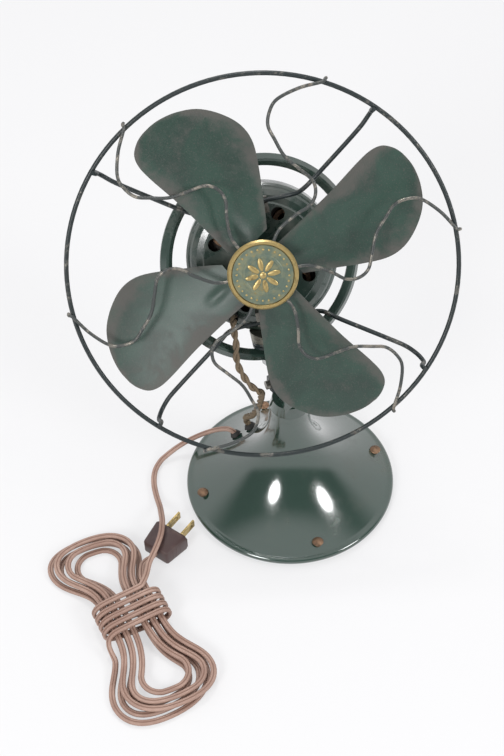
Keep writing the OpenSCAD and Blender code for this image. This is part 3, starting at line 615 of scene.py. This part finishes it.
@dataclass
class CordRun:
    """Mains cord from the base over the plug, round the hank and into the plug, in millimetres."""

    width: float = 4.2
    hole_turn: float = 124.4
    hole_r: float = 46.5
    exit_bend: tuple = (12, 44)
    exit_run: tuple = (12, 60)
    exit_r: float = 7.2
    fold_r: float = 12.6
    hank_at: tuple = (-147.0, -68.0)
    hank_turn: float = 4.0
    loop_turns: int = 3
    loop_long: float = 62.0
    loop_flare: float = 56.0
    loop_steps: int = 216
    loop_from: int = 18
    loop_to: int = 1200
    bind_turns: int = 4
    bind_steps: int = 48
    bind_pitch: float = 6.0
    bind_bend: float = 11.0
    bind_start: float = 4.4
    bind_stop: float = 3.0
    plug_front: tuple = (-97.0, -15.0, 7.0)
    plug_turn: float = 32.0
    plug_long: float = 20.0
    route: tuple = ((-37, 47, 27), (-49, 53, 19), (-62, 57, 11), (-76, 56, 4.8), (-87, 49, 2.6),
                    (-93, 37, 2.6), (-95.5, 24, 2.8), (-97, 12, 6), (-99.5, 1, 12.5), (-102, -9, 17),
                    (-107, -20, 18.4), (-115, -30, 17.2), (-122, -37, 15.2))

    def __post_init__(self) -> None:
        """Works out the hank's own sizes."""
        self.floor = self.width / 2 + 0.2
        self.layer = self.width + 0.6
        self.lift = self.layer + 0.4
        self.step = self.width + 1.65
        self.bind_r = 1.5 * self.layer + 0.4
        self.bind_z = self.floor + self.bind_r
        self.right = self.step * self.loop_turns + 0.2
        self.left = self.step * (self.loop_turns - 0.5) + 0.9
        self.round_len = 2 * (self.right + self.left) + 2 * math.pi * self.bind_r

    @staticmethod
    def turned(angle: float, p: Sequence[float]) -> Vector:
        """Turns a point about the upright axis."""
        return Matrix.Rotation(math.radians(angle), 3, "Z") @ Vector(p)

    @staticmethod
    def from_trumpet(turn: float, r: float, h: float) -> Vector:
        """Returns a point at height h over the flared base's skin."""
        fall, spread = NECK_Z - RIM_Z, RIM_R - NECK_R
        z = NECK_Z - fall * ((r - NECK_R) / spread) ** (1 / FLARE_POWER)
        slope = math.atan(FLARE_POWER * spread / fall * ((NECK_Z - z) / fall) ** (FLARE_POWER - 1))
        return CordRun.turned(turn, (r + h * math.cos(slope), 0, z + h * math.sin(slope)))

    def place(self, u: float, v: float, z: float) -> Vector:
        """Puts a point of the hank's own plan on the floor."""
        return Vector((*self.hank_at, 0)) + self.turned(self.hank_turn, (v, u, z))

    def inner_loop(self, a: float) -> Vector:
        """Returns the innermost loop's point at an angle in degrees."""
        c, s = math.cos(math.radians(a)), math.sin(math.radians(a))
        return Vector((self.loop_long * c, -s * (self.step / 2 + self.loop_flare * c ** 4)))

    def loop(self, f: float) -> Vector:
        """Returns the point of the nested loops after f turns."""
        k, a = abs(f - self.loop_turns), 90 + 360 * f
        along = (self.inner_loop(a + 0.1) - self.inner_loop(a - 0.1)).normalized()
        q = self.inner_loop(a) + self.step * k * Vector((-along.y, along.x))
        rise = min(1.0, max(0.0, (f - self.loop_turns) * 2.4 + 0.5))
        upper = rise * rise * (3 - 2 * rise)
        lean = -10 + 4 * upper if q.x > 0 else -4 + 10 * upper
        return self.place(q.x, q.y + lean * (q.x / 75) ** 2,
                          self.floor + upper * self.layer + self.lift * math.exp(-(q.x / 32) ** 4))

    def stadium(self, s: float) -> tuple[float, float, float, float]:
        """Returns place and outward direction on the turn round the waist after a length s."""
        r = self.bind_r
        quarter, flat, m = r * math.pi / 2, self.right + self.left, s % self.round_len
        if m < quarter:
            b = m / r
            side, out = -math.cos(b), -math.sin(b)
            return (-self.left + r * side, self.bind_z + r * out, side, out)
        if m < quarter + flat:
            return (-self.left + m - quarter, self.bind_z - r, 0, -1)
        if m < 3 * quarter + flat:
            b = (m - quarter - flat) / r
            side, out = math.sin(b), -math.cos(b)
            return (self.right + r * side, self.bind_z + r * out, side, out)
        if m < 3 * quarter + 2 * flat:
            return (self.right - (m - 3 * quarter - flat), self.bind_z + r, 0, 1)
        b = (m - 3 * quarter - 2 * flat) / r
        side, out = -math.sin(b), math.cos(b)
        return (-self.left + r * side, self.bind_z + r * out, side, out)

    def line(self) -> tuple[list[Vector], list[Vector]]:
        """Returns the whole cord's points in metres and which way its flat side faces."""
        spots: list[Vector] = []
        faces: list[Vector] = []
        up = Vector((0, 0, 1))

        def bind(s: float, u: float) -> tuple[Vector, Vector]:
            """Returns place and outward direction on the binding."""
            v, z, nv, nz = self.stadium(s)
            return self.place(u, v, z), self.turned(self.hank_turn, (nv, 0, nz))

        bend = self.bind_bend
        s0 = self.bind_r * math.pi + self.right + self.left + self.bind_start + bend
        s1 = self.round_len * (self.bind_turns + 1) + self.bind_stop - bend
        u0 = self.bind_pitch * (s1 - s0) / self.round_len / 2
        bends = [math.radians(b) for b in range(0, 91, 15)]
        turns = [bind(s0 - bend * math.cos(b), u0 + bend * (1 - math.sin(b))) for b in bends[:-1]]
        count = self.bind_steps * self.bind_turns
        turns += [bind(s0 + (s1 - s0) * i / count, u0 * (1 - 2 * i / count)) for i in range(count + 1)]
        turns += [bind(s1 + bend * math.sin(b), -u0 - bend * (1 - math.cos(b))) for b in bends[1:]]
        start = 2 * turns[0][0] - turns[1][0]
        before = 2 * start - turns[0][0]
        exits = [self.from_trumpet(self.hole_turn, self.hole_r, h) for h in (-5, -1, 3.6, 6.5)]
        mains = catmull(exits + [Vector(p) for p in self.route] + [before], 6) + [start]
        loops = [self.loop(i / self.loop_steps) for i in range(self.loop_from, self.loop_to + 1)]
        back = Vector(self.plug_front) + self.turned(self.plug_turn, (-self.plug_long, 0, 0))
        after = loops[-1] + (loops[-1] - loops[-2]).normalized() * self.width
        ends = ((-12, 1.5, 1.6), (-5.4, 0, 0), (-2.4, 0, 0), (0, 0, 0))
        tail = catmull([after] + [back + self.turned(self.plug_turn, q) for q in ends], 6)
        for p in mains:
            spots.append(p)
            faces.append(up)
        for p, n in turns:
            spots.append(p)
            faces.append(n)
        for p in loops + tail:
            spots.append(p)
            faces.append(up)
        last = len(faces) - 1
        for _ in range(3):
            near = [[faces[max(0, min(last, i + k))] for k in range(-3, 4)] for i in range(last + 1)]
            faces = [sum(group, Vector()).normalized() for group in near]
        joint = len(mains)
        self.ease(spots, 1, len(spots) - 1, 4)
        self.ease(spots, *self.exit_bend, 24)
        self.ease(spots, joint - 16, joint + 6, 40)
        self.relax(spots, *self.exit_run, self.exit_r)
        self.relax(spots, joint + len(turns) + 20, len(spots) - 7, self.fold_r)
        return [p * MM for p in spots], faces

    @staticmethod
    def ease(spots: list[Vector], first: int, last: int, passes: int) -> None:
        """Evens out a stretch of a line in place."""
        for _ in range(passes):
            spots[first:last] = [0.25 * spots[i - 1] + 0.5 * spots[i] + 0.25 * spots[i + 1]
                                 for i in range(first, last)]

    @staticmethod
    def bend(spots: Sequence[Vector], at: int) -> float:
        """Returns a line's radius at one point, taken over three points to each side."""
        a, b, c = spots[at - 3], spots[at], spots[at + 3]
        u, v = b - a, c - b
        return u.length * v.length * (c - a).length / max(2 * u.cross(v).length, 1e-9)

    @classmethod
    def relax(cls, spots: list[Vector], first: int, last: int, least: float, passes: int = 400) -> None:
        """Draws tight bends of a line inwards, in place, until they are wide enough.

        Args:
            spots: Points of the line.
            first: First point that may move.
            last: End of the stretch that may move.
            least: Radius that a bend should have.
            passes: Most steps that are taken.
        """
        for _ in range(passes):
            tight = [i for i in range(first, last) if cls.bend(spots, i) < least]
            drawn = [spots[i].lerp(0.5 * (spots[i - 1] + spots[i + 1]), 0.4) for i in tight]
            for i, spot in zip(tight, drawn):
                spots[i] = spot


def sweep(points: Sequence[Vector], facing: Sequence[Vector], section: Sequence[tuple[float, float, float]]
          ) -> tuple[bmesh.types.BMesh, list[float], list[float]]:
    """Draws a section along a cord's line.

    Args:
        points: Centreline in metres.
        facing: Direction that the section's second axis faces, one for each point.
        section: Sideways place, place along facing and a mark, in metres and 0 to 1.

    Returns:
        The tube, the marks of its vertices and their lengths along the line.
    """
    made = bmesh.new()
    rings: list[list[bmesh.types.BMVert]] = []
    marks: list[float] = []
    lengths: list[float] = []
    gone = 0.0
    for i, p in enumerate(points):
        ahead = (points[min(i + 1, len(points) - 1)] - points[max(i - 1, 0)]).normalized()
        side = ahead.cross(facing[i]).normalized()
        out = side.cross(ahead).normalized()
        if i:
            gone += (p - points[i - 1]).length
        rings.append([made.verts.new(p + side * x + out * y) for x, y, _ in section])
        marks += [m for _, _, m in section]
        lengths += [gone] * len(section)
    count = len(section)
    for a, b in zip(rings, rings[1:]):
        for k in range(count):
            made.faces.new((a[k], a[(k + 1) % count], b[(k + 1) % count], b[k]))
    made.faces.new(rings[0])
    made.faces.new(rings[-1])
    return made, marks, lengths


def mark(piece: bpy.types.Object, name: str, values: Sequence[float]) -> None:
    """Stores a value on every vertex of a piece."""
    layer = piece.data.attributes.new(name, "FLOAT", "POINT")
    layer.data.foreach_set("value", list(values))


@dataclass
class CordSet:
    """The mains cord with its hank, and the plug that ends it."""

    run: CordRun = field(default_factory=CordRun)
    core_r: float = 1.27 * MM
    core_out: float = 0.83 * MM

    def section(self) -> list[tuple[float, float, float]]:
        """Returns the figure-of-eight outline of a twin cord."""
        out: list[tuple[float, float, float]] = []
        for side in (1, -1):
            for k in range(9):
                a = math.radians(-126 + 252 * k / 8)
                across = self.core_out + self.core_r * math.cos(a)
                # The two groove vertices of each core carry the mask for the painted groove shade.
                groove_shade = 1.0 if k in (0, 8) else 0.0
                out.append((side * across, side * self.core_r * math.sin(a), groove_shade))
        return out

    def build(self, shop: Shop, nodes: dict[str, bpy.types.Object]) -> None:
        """Makes the cord and its plug."""
        points, facing = self.run.line()
        made, marks, _ = sweep(points, facing, self.section())
        cord = shop.mesh("mains_flex", made)
        mark(cord, "groove_shade", marks)
        shop.done(cord, "cord", Body.BASE, ["mains_cord", "cord_hank", "plug_lead"])
        plug = self.plug(shop)
        run = self.run
        tuple(run.from_trumpet(run.hole_turn, run.hole_r, 2) * MM)
        round(length_of(points), 3)

    def plug(self, shop: Shop) -> bpy.types.Object:
        """Makes the moulded plug with rounded edges and finger ribs."""
        turn = Matrix.Rotation(math.radians(self.run.plug_turn), 4, "Z")
        at = Matrix.Translation(Vector(self.run.plug_front) * MM) @ turn
        made = bmesh.new()
        length, wide, high = self.run.plug_long * MM, 27 * MM, 13.6 * MM
        bmesh.ops.create_cube(made, size=1.0, matrix=Matrix.Diagonal((length, wide, high, 1)))
        bmesh.ops.translate(made, verts=made.verts, vec=(-length / 2, 0, 0))
        rear = [f for f in made.faces if f.normal.x < -0.9]
        bmesh.ops.scale(made, verts=rear[0].verts, vec=(1, 0.78, 0.9))
        front = [f for f in made.faces if f.normal.x > 0.9]
        bmesh.ops.inset_region(made, faces=front, thickness=2.2 * MM, depth=0)
        bmesh.ops.translate(made, verts=list({v for f in front for v in f.verts}), vec=(-0.8 * MM, 0, 0))
        bmesh.ops.bevel(made, geom=list(made.edges), offset=1.5 * MM, affect="EDGES", segments=3,
                        profile=0.5, material=-1)
        rib = Matrix.Diagonal((1.6 * MM, 1.6 * MM, 9 * MM, 1))
        for side in (-1, 1):
            for k in range(3):
                spot = Matrix.Translation(((-7 - 3.4 * k) * MM, side * (11.7 - 0.45 * k) * MM, 0))
                grip = bmesh.ops.create_cube(made, size=1.0, matrix=spot @ rib)
                edges = list({e for v in grip["verts"] for e in v.link_edges})
                bmesh.ops.bevel(made, geom=edges, offset=0.5 * MM, affect="EDGES", segments=2, profile=0.5,
                                material=-1)
        bmesh.ops.transform(made, matrix=at, verts=made.verts)
        plug = shop.mesh("plug_moulding", made)
        return shop.done(plug, "plug_brown", Body.BASE, ["plug_body"])


@dataclass
class MotorLead:
    """Cloth-covered pair from the motor, past the ring and the hinge, into the base, in millimetres."""

    strand_r: float = 1.3
    strand_out: float = 1.15
    strand_sides: int = 10
    lay: float = 17.0
    gland_r: float = 43.0
    gland_at: float = 231.5
    hole_turn: float = 113.0
    hole_r: float = 39.5
    cut_z: float = 124.0
    head: tuple = ((-27.5, 15.5, -36), (-28, 18.3, -41), (-28.5, 18.3, -48))
    yoke: tuple = ((-34.5, -7.5, 27.5), (-34, -7, 18.5), (-30, -6, 7))
    still: tuple = (-18, 16, 73)
    fall: tuple = ((-24.5, -4, 116.5), (-21, -1, 111), (-19, 4, 101), (-18, 10, 87), still,
                   (-18.5, 25, 57), (-19, 34, 46))

    def line(self) -> list[Vector]:
        """Returns the pair's centreline in metres, from the motor down to the base."""
        at = math.radians(self.gland_at)
        x, z = self.gland_r * math.cos(at), self.gland_r * math.sin(at)
        head = Pose.head()
        gland = [head @ (Vector((x, -a, z)) * MM) for a in (5, 10)]
        upper = [head @ (Vector((x, -a, z)) * MM) for x, a, z in self.head]
        middle = [Pose.yoke() @ (Vector(p) * MM) for p in self.yoke]
        lower = [Vector(p) * MM for p in self.fall]
        end = [CordRun.from_trumpet(self.hole_turn, self.hole_r, h) * MM for h in (7.5, 3.8, 0, -4.5)]
        return even(catmull(gland + upper + middle + lower + end, 10), 1.0 * MM)

    def strand(self, points: Sequence[Vector], gone: float, phase: float
               ) -> tuple[bmesh.types.BMesh, list[float], list[float]]:
        """Makes one core wound round the pair's centreline."""
        normal = Vector((1, 0, 0))
        wound: list[Vector] = []
        for i, p in enumerate(points):
            ahead = (points[min(i + 1, len(points) - 1)] - points[max(i - 1, 0)]).normalized()
            normal = (normal - ahead * normal.dot(ahead)).normalized()
            side = ahead.cross(normal)
            a = phase + 2 * math.pi * (gone + i * MM) / (self.lay * MM)
            wound.append(p + (normal * math.cos(a) + side * math.sin(a)) * self.strand_out * MM)
        facing: list[Vector] = []
        normal = Vector((0, 1, 0.2)).normalized()
        for i in range(len(wound)):
            ahead = (wound[min(i + 1, len(wound) - 1)] - wound[max(i - 1, 0)]).normalized()
            normal = (normal - ahead * normal.dot(ahead)).normalized()
            facing.append(normal.copy())
        r = self.strand_r * MM
        shares = [k / self.strand_sides for k in range(self.strand_sides)]
        ring = [(r * math.cos(2 * math.pi * s), r * math.sin(2 * math.pi * s), s) for s in shares]
        return sweep(wound, facing, ring)

    def piece(self, shop: Shop, name: str, points: Sequence[Vector], gone: float) -> bpy.types.Object:
        """Makes one stretch of the pair."""
        whole = bmesh.new()
        turn: list[float] = []
        along: list[float] = []
        for phase in (0.0, math.pi):
            made, marks, lengths = self.strand(points, gone, phase)
            data = bpy.data.meshes.new("strand")
            made.to_mesh(data)
            made.free()
            whole.from_mesh(data)
            bpy.data.meshes.remove(data)
            turn += marks
            along += [gone + a for a in lengths]
        made_piece = shop.mesh(name, whole)
        mark(made_piece, "round", turn)
        mark(made_piece, "along", along)
        return made_piece

    def build(self, shop: Shop) -> None:
        """Makes the upper stretch and the lower, cut apart at a set height, and carries neither on a body.
        """
        points = self.line()
        cut = min(range(len(points)), key=lambda i: abs(points[i].z - self.cut_z * MM))
        upper = self.piece(shop, "motor_lead_upper", points[:cut + 1], 0.0)
        shop.done(upper, "cloth", None, ["motor_lead"])
        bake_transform(upper)
        lower = self.piece(shop, "motor_lead_lower", points[cut:], cut * MM)
        shop.done(lower, "cloth", None, ["motor_lead"])
        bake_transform(lower)


@dataclass
class BaseSkin:
    """Smooth skin of the flared base with its rolled rim, in millimetres."""

    bead_r: float = 2.5
    bead_at: tuple = (73.0, 4.5)
    wall: float = 2.0
    rows: int = 60
    steps: int = 160

    def profile(self) -> list[tuple[float, float]]:
        """Returns radius and height round the skin's section."""
        outer = []
        for i in range(self.rows + 1):
            k = (i / self.rows) ** 0.8
            outer.append((NECK_R + (RIM_R - NECK_R) * k ** FLARE_POWER, NECK_Z + (RIM_Z - NECK_Z) * k))
        out, up = self.bead_at
        round_it = [math.radians(a) for a in range(96, -180, -12)]
        bead = [(out + self.bead_r * math.cos(a), up + self.bead_r * math.sin(a)) for a in round_it]
        inner = [(r - 0.6 * self.wall, z - 0.8 * self.wall) for r, z in reversed(outer)]
        return outer + bead + inner

    def build(self, shop: Shop) -> None:
        """Turns the section round the upright axis."""
        made = bmesh.new()
        spots = [made.verts.new((r * MM, 0, z * MM)) for r, z in self.profile()]
        edges = [made.edges.new((a, b)) for a, b in zip(spots, spots[1:] + spots[:1])]
        bmesh.ops.spin(made, geom=spots + edges, cent=(0, 0, 0), axis=(0, 0, 1), angle=2 * math.pi,
                       steps=self.steps, use_merge=True)
        skin = shop.mesh("base_skin", made)
        skin.data.set_sharp_from_angle(angle=math.radians(50))
        shop.done(skin, "green_paint", Body.BASE, ["base_shell"])


@dataclass
class BladeSet:
    """Four pressed blades with a pitched, slightly hollow form and a stiffening rib, in millimetres."""

    turn: float = 31.0
    tip_r: float = 114.3
    rise: float = 33.5
    thick: float = 1.0
    rows: int = 48
    columns: int = 20
    lead: tuple = ((17, -20), (26, -27), (36, -34), (47, -42), (62, -51), (75, -53), (88.6, -49), (101, -41),
                   (109, -30), (113, -20), (114.3, -13))
    trail: tuple = ((17, 7), (28, 7), (40, 7), (53, 7.2), (66, 7.5), (78, 8.4), (90, 9.4), (101, 9.4),
                    (108.5, 6.5), (112.8, 0), (114.3, -6))

    def height(self, x: float, y: float, w: float) -> float:
        """Returns how far forward the sheet stands at a place on the blade."""
        pitch = 0.19 + 0.2 * math.exp(-(x / 42) ** 2)
        rib = 1.3 * math.exp(-((y + 8) / 3.2) ** 2) * math.exp(-((x - 32) / 9) ** 4)
        hollow = 2.4 * min(1, x / 60) * (1 - (max(0, x - 70) / (self.tip_r - 70)) ** 2)
        return self.rise + pitch * (y + 8) - hollow * (1 - w * w) + rib

    def build(self, shop: Shop) -> None:
        """Makes the blades."""
        front = catmull([Vector((x, y, 0)) for x, y in self.lead], 5)
        back = catmull([Vector((x, y, 0)) for x, y in self.trail], 5)
        for i in range(4):
            made = bmesh.new()
            bmesh.ops.create_grid(made, x_segments=self.rows, y_segments=self.columns, size=0.5)
            rim: list[float] = []
            for v in made.verts:
                edge, tip = min(v.co.y + 0.5, 0.5 - v.co.y), 0.5 - v.co.x
                rim.append(max(0.0, 1 - 3.2 * edge, 1 - 4.5 * tip))
                s, w = (v.co.x + 0.5) * (len(front) - 1), v.co.y + 0.5
                k = min(int(s), len(front) - 2)
                a, b = front[k].lerp(front[k + 1], s - k), back[k].lerp(back[k + 1], s - k)
                p = a.lerp(b, w)
                v.co = Vector((p.x, p.y, self.height(p.x, p.y, 2 * w - 1))) * MM
            at = Pose.axis() @ Matrix.Rotation(math.radians(self.turn + 90 * i), 4, "Z")
            bmesh.ops.translate(made, verts=made.verts, vec=(0, 0, -self.thick * MM / 2))
            bmesh.ops.recalc_face_normals(made, faces=made.faces)
            bmesh.ops.solidify(made, geom=list(made.faces), thickness=self.thick * MM)
            bmesh.ops.transform(made, matrix=at, verts=made.verts)
            blade = shop.mesh(f"blade_sheet_{i + 1}", made)
            blade.data.set_sharp_from_angle(angle=math.radians(40))
            mark(blade, "rim", rim + rim)
            shop.done(blade, "green_paint", Body.FAN, [f"blade_{i + 1}"], shop.finishes.blades)


@dataclass
class Guard:
    """Front wires in an S and rear struts that hook round the ring, in millimetres."""

    ring_r: float = 124.5
    ring_a: float = 36.8
    ring_wire: float = 1.5
    wire: float = 1.1
    strut: float = 1.5
    hub_a: float = 42.2
    strut_mid: float = 11.0
    strut_arm: float = 19.4

    def wire_line(self) -> list[Vector]:
        """Returns one front wire: sideways, out and forward places."""
        h, s = self.hub_a, self.ring_a + self.ring_wire + self.wire + 0.1
        plan = ((6, 0, h), (16, 0, h), (30, -1, h), (42, -8, h), (50, -14.5, h - 0.2), (58, -16, h - 0.4),
                (65.5, -12, h - 0.7), (70, -2, h - 1), (75, 9.5, h - 1.3), (83, 18.5, h - 1.6),
                (90, 25, h - 1.9), (99, 26.5, s + 0.4), (107, 24, s + 0.2), (117, 13.5, s),
                (self.ring_r, 1.5, s),
                (self.ring_r + 2.4, 0, self.ring_a + 1.6), (self.ring_r + 2.8, -0.6, self.ring_a - 0.8))
        return [Vector((-q[1], q[0], q[2])) * MM for q in plan]

    def strut_line(self) -> list[Vector]:
        """Returns one rear strut from ring to ring."""
        m, a, g = self.strut_mid, self.strut_arm, self.ring_a
        inside = self.ring_r - self.ring_wire - self.strut - 0.1
        half = [(0, 39.6, m), (14, 39.6, m), (25, 39.6, m + 0.5), (32, 40.5, m + 3), (37.5, 43.5, a - 1.4),
                (44, 48, a), (56, 56.5, a), (70, 66.5, a), (80, 74, a), (86, 80, a + 2), (88.8, 83.6, a + 7),
                (89, 84.6, g - 7)]
        at = math.radians(46)
        for r, z in ((inside, g - 2.6), (inside, g + 0.6), (self.ring_r - 1.4, g + 3.1)):
            half.append((r * math.sin(at), r * math.cos(at), z))
        right = [Vector(q) * MM for q in half]
        return [Vector((-p.x, p.y, p.z)) for p in reversed(right)] + right[1:]

    def build(self, shop: Shop) -> None:
        """Makes the wires and struts."""
        frame = Pose.axis()
        for i in range(6):
            at = frame @ Matrix.Rotation(math.radians(30 + 60 * i), 4, "Z")
            line = [at @ p for p in catmull(self.wire_line(), 10)]
            wire = shop.wire(f"s_wire_{i + 1}", line, self.wire * MM)
            shop.done(wire, "worn_wire", Body.HEAD, [f"guard_wire_{i + 1}"])
        for name, turn in (("upper", 0), ("lower", 180)):
            at = frame @ Matrix.Rotation(math.radians(turn), 4, "Z")
            line = [at @ p for p in catmull(self.strut_line(), 8)]
            strut = shop.wire(f"rear_strut_{name}", line, self.strut * MM)
            shop.done(strut, "dark_paint", Body.HEAD, [f"guard_strut_{name}"])


@dataclass
class Badge:
    """Plain raised ornament on the badge: a ring of beads round a small rosette."""

    back: float = 43.4
    beads: int = 28
    bead_ring: float = 16.6
    petals: int = 8
    petal_out: float = 7.2

    def build(self, shop: Shop) -> None:
        """Makes the ornament."""
        made = bmesh.new()
        for k in range(self.beads):
            a = 2 * math.pi * k / self.beads
            x, y = self.bead_ring * math.cos(a), self.bead_ring * math.sin(a)
            spot = Matrix.Translation(Vector((x, y, self.back + 1.75)) * MM)
            flat = Matrix.Diagonal((1, 1, 0.5, 1))
            bmesh.ops.create_icosphere(made, subdivisions=2, radius=0.75 * MM, matrix=spot @ flat)
        petal = Matrix.Translation(Vector((self.petal_out, 0, self.back + 2.15)) * MM)
        petal = petal @ Matrix.Diagonal((4.4, 1.7, 0.6, 1))
        for k in range(self.petals):
            spot = Matrix.Rotation(2 * math.pi * k / self.petals, 4, "Z") @ petal
            bmesh.ops.create_uvsphere(made, u_segments=16, v_segments=10, radius=1 * MM, matrix=spot)
        middle = Matrix.Translation((0, 0, (self.back + 2.1) * MM)) @ Matrix.Diagonal((1, 1, 0.35, 1))
        bmesh.ops.create_uvsphere(made, u_segments=20, v_segments=12, radius=2.2 * MM, matrix=middle)
        bmesh.ops.transform(made, matrix=Pose.axis(), verts=made.verts)
        shop.done(shop.mesh("badge_ornament", made), "brass", Body.HEAD)


@dataclass
class Studio:
    """Camera at the photograph's angle, pale floor and soft lamps."""

    # Darker walls of the world, which mirrored rays alone see: sines of their foot, their top and their ends
    wall_foot: tuple = (0.14, 0.3)
    wall_top: tuple = (0.72, 0.86)
    wall_end: tuple = (-0.08, 0.26)
    wall_dark: float = 0.8
    level: float = 0.9
    floor_glow: float = 0.62
    floor_fade: tuple = (0.5, 1.8)
    lamps: tuple = (("key", (-1.32, -0.95, 1.15), 0.6, 16), ("fill", (0.86, -1.15, 1.12), 0.5, 10),
                    ("top", (0.1, 0.55, 1.5), 0.3, 6))
    aim: tuple = (-0.03, 0.0, 0.12)
    floor_r: float = 8.0
    place: tuple = (-0.2547, -0.5981, 0.8505)
    turn: float = 20.839
    drop: float = 48.504
    roll: float = 1.981
    sensor: float = 36.0
    focal_pixels: float = 1450.0
    photo_rows: int = 756

    def camera(self) -> None:
        """Makes the camera."""
        data = bpy.data.cameras.new("camera")
        data.sensor_fit = "VERTICAL"
        data.sensor_height = self.sensor
        data.lens = self.sensor * self.focal_pixels / self.photo_rows
        data.clip_start = 0.01
        data.clip_end = 50
        camera = bpy.data.objects.new("camera", data)
        bpy.context.scene.collection.objects.link(camera)
        back = Matrix.Rotation(math.radians(-self.turn), 3, "Z")
        d, r = math.radians(self.drop), math.radians(self.roll)
        right = back @ Vector((1, 0, 0))
        ahead = back @ Vector((0, math.cos(d), -math.sin(d)))
        up = back @ Vector((0, math.sin(d), math.cos(d)))
        across = math.cos(r) * right - math.sin(r) * up
        over = math.cos(r) * up + math.sin(r) * right
        turned = Matrix((across, over, -ahead)).transposed().to_4x4()
        camera.matrix_world = Matrix.Translation(self.place) @ turned
        bpy.context.scene.camera = camera

    def lamp(self, name: str, at: Sequence[float], size: float, power: float) -> None:
        """Adds one round soft lamp aimed at the fan."""
        data = bpy.data.lights.new(name, "AREA")
        data.shape = "DISK"
        data.size = size
        data.energy = power
        lamp = bpy.data.objects.new(name, data)
        bpy.context.scene.collection.objects.link(lamp)
        lamp.location = at
        lamp.rotation_euler = (Vector(self.aim) - Vector(at)).to_track_quat("-Z", "Y").to_euler()

    def floor(self) -> None:
        """Makes the pale floor, which glows a little to the camera and in mirrored rays."""
        made = bmesh.new()
        bmesh.ops.create_circle(made, cap_ends=True, segments=96, radius=self.floor_r)
        data = bpy.data.meshes.new("floor")
        made.to_mesh(data)
        made.free()
        floor = bpy.data.objects.new("floor", data)
        bpy.context.scene.collection.objects.link(floor)
        g = Graph("pale floor")
        g.surface(Base_Color=linear(222, 221, 221), Roughness=0.6, Specular_IOR_Level=0.1)
        glow = g.node("ShaderNodeEmission", {}, {"Color": linear(246, 246, 247), "Strength": 1.0})
        reach = g.node("ShaderNodeVectorMath", {"operation": "LENGTH"}, {0: g.place()}, "Value")
        share = g.seen() * (reach.above(*self.floor_fade) * (1 - self.floor_glow) + self.floor_glow)
        lit = Field(g, g.shader.outputs[0])
        mixed = g.node("ShaderNodeMixShader", {}, {0: share, 1: lit, 2: glow})
        g.put(g.tree.nodes["Material Output"].inputs["Surface"], mixed)
        data.materials.append(g.material)

    def build(self) -> None:
        """Makes the floor, the world and the lamps."""
        scene = bpy.context.scene
        scene.view_settings.view_transform = "Standard"
        sky = Sky("studio")
        where = sky.node("ShaderNodeTexCoord", {}, {}, "Generated")
        up = sky.node("ShaderNodeSeparateXYZ", {}, {0: where}, "Z")
        away = (math.sin(math.radians(self.turn)), math.cos(math.radians(self.turn)), 0.0)
        behind = sky.node("ShaderNodeVectorMath", {"operation": "DOT_PRODUCT"}, {0: where, 1: away}, "Value")
        band = up.above(*self.wall_foot) * (1 - up.above(*self.wall_top))
        walls = band * (1 - behind.above(*self.wall_end))
        mirrored = 1 - sky.ray("Is Camera Ray")
        strength = 1 - walls * mirrored * self.wall_dark
        lit = sky.node("ShaderNodeBackground", {}, {"Color": linear(246, 247, 250), "Strength": self.level})
        shown = sky.node("ShaderNodeBackground", {}, {"Color": linear(246, 246, 247), "Strength": strength})
        mixed = sky.node("ShaderNodeMixShader", {}, {0: sky.seen(), 1: lit, 2: shown})
        sky.put(sky.tree.nodes["World Output"].inputs["Surface"], mixed)
        scene.world = sky.world
        self.floor()
        for lamp in self.lamps:
            self.lamp(*lamp)


def dress_cad(frame: dict, finishes: Finishes) -> None:
    """Gives every CAD node the finish of its slot, and the motor and its ring a dustier one.

    Args:
        frame: The loaded frame.
        finishes: Finishes by slot name.
    """
    for row in frame["record"]["subparts"]:
        finishes.dress(frame["nodes"][row["node"]], row["material_slot"])
    for name in ("motor_front_shell", "motor_rear_shell", "yoke_ring"):
        frame["nodes"][name].data.materials[0] = finishes.motor


def main() -> None:
    """Builds the classes in order."""
    logging.basicConfig(level=logging.INFO, format="%(name)s %(message)s")
    for old in ("Cube", "Light", "Camera"):
        if old in bpy.data.objects:
            bpy.data.objects.remove(bpy.data.objects[old])
    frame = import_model()
    studio = Studio()
    studio.camera()
    finishes = Finishes()
    shop = Shop(finishes)
    CordSet().build(shop, frame["nodes"])
    MotorLead().build(shop)
    dress_cad(frame, finishes)
    BaseSkin().build(shop)
    BladeSet().build(shop)
    Guard().build(shop)
    Badge().build(shop)
    studio.build()


if __name__ == "__main__":
    main()
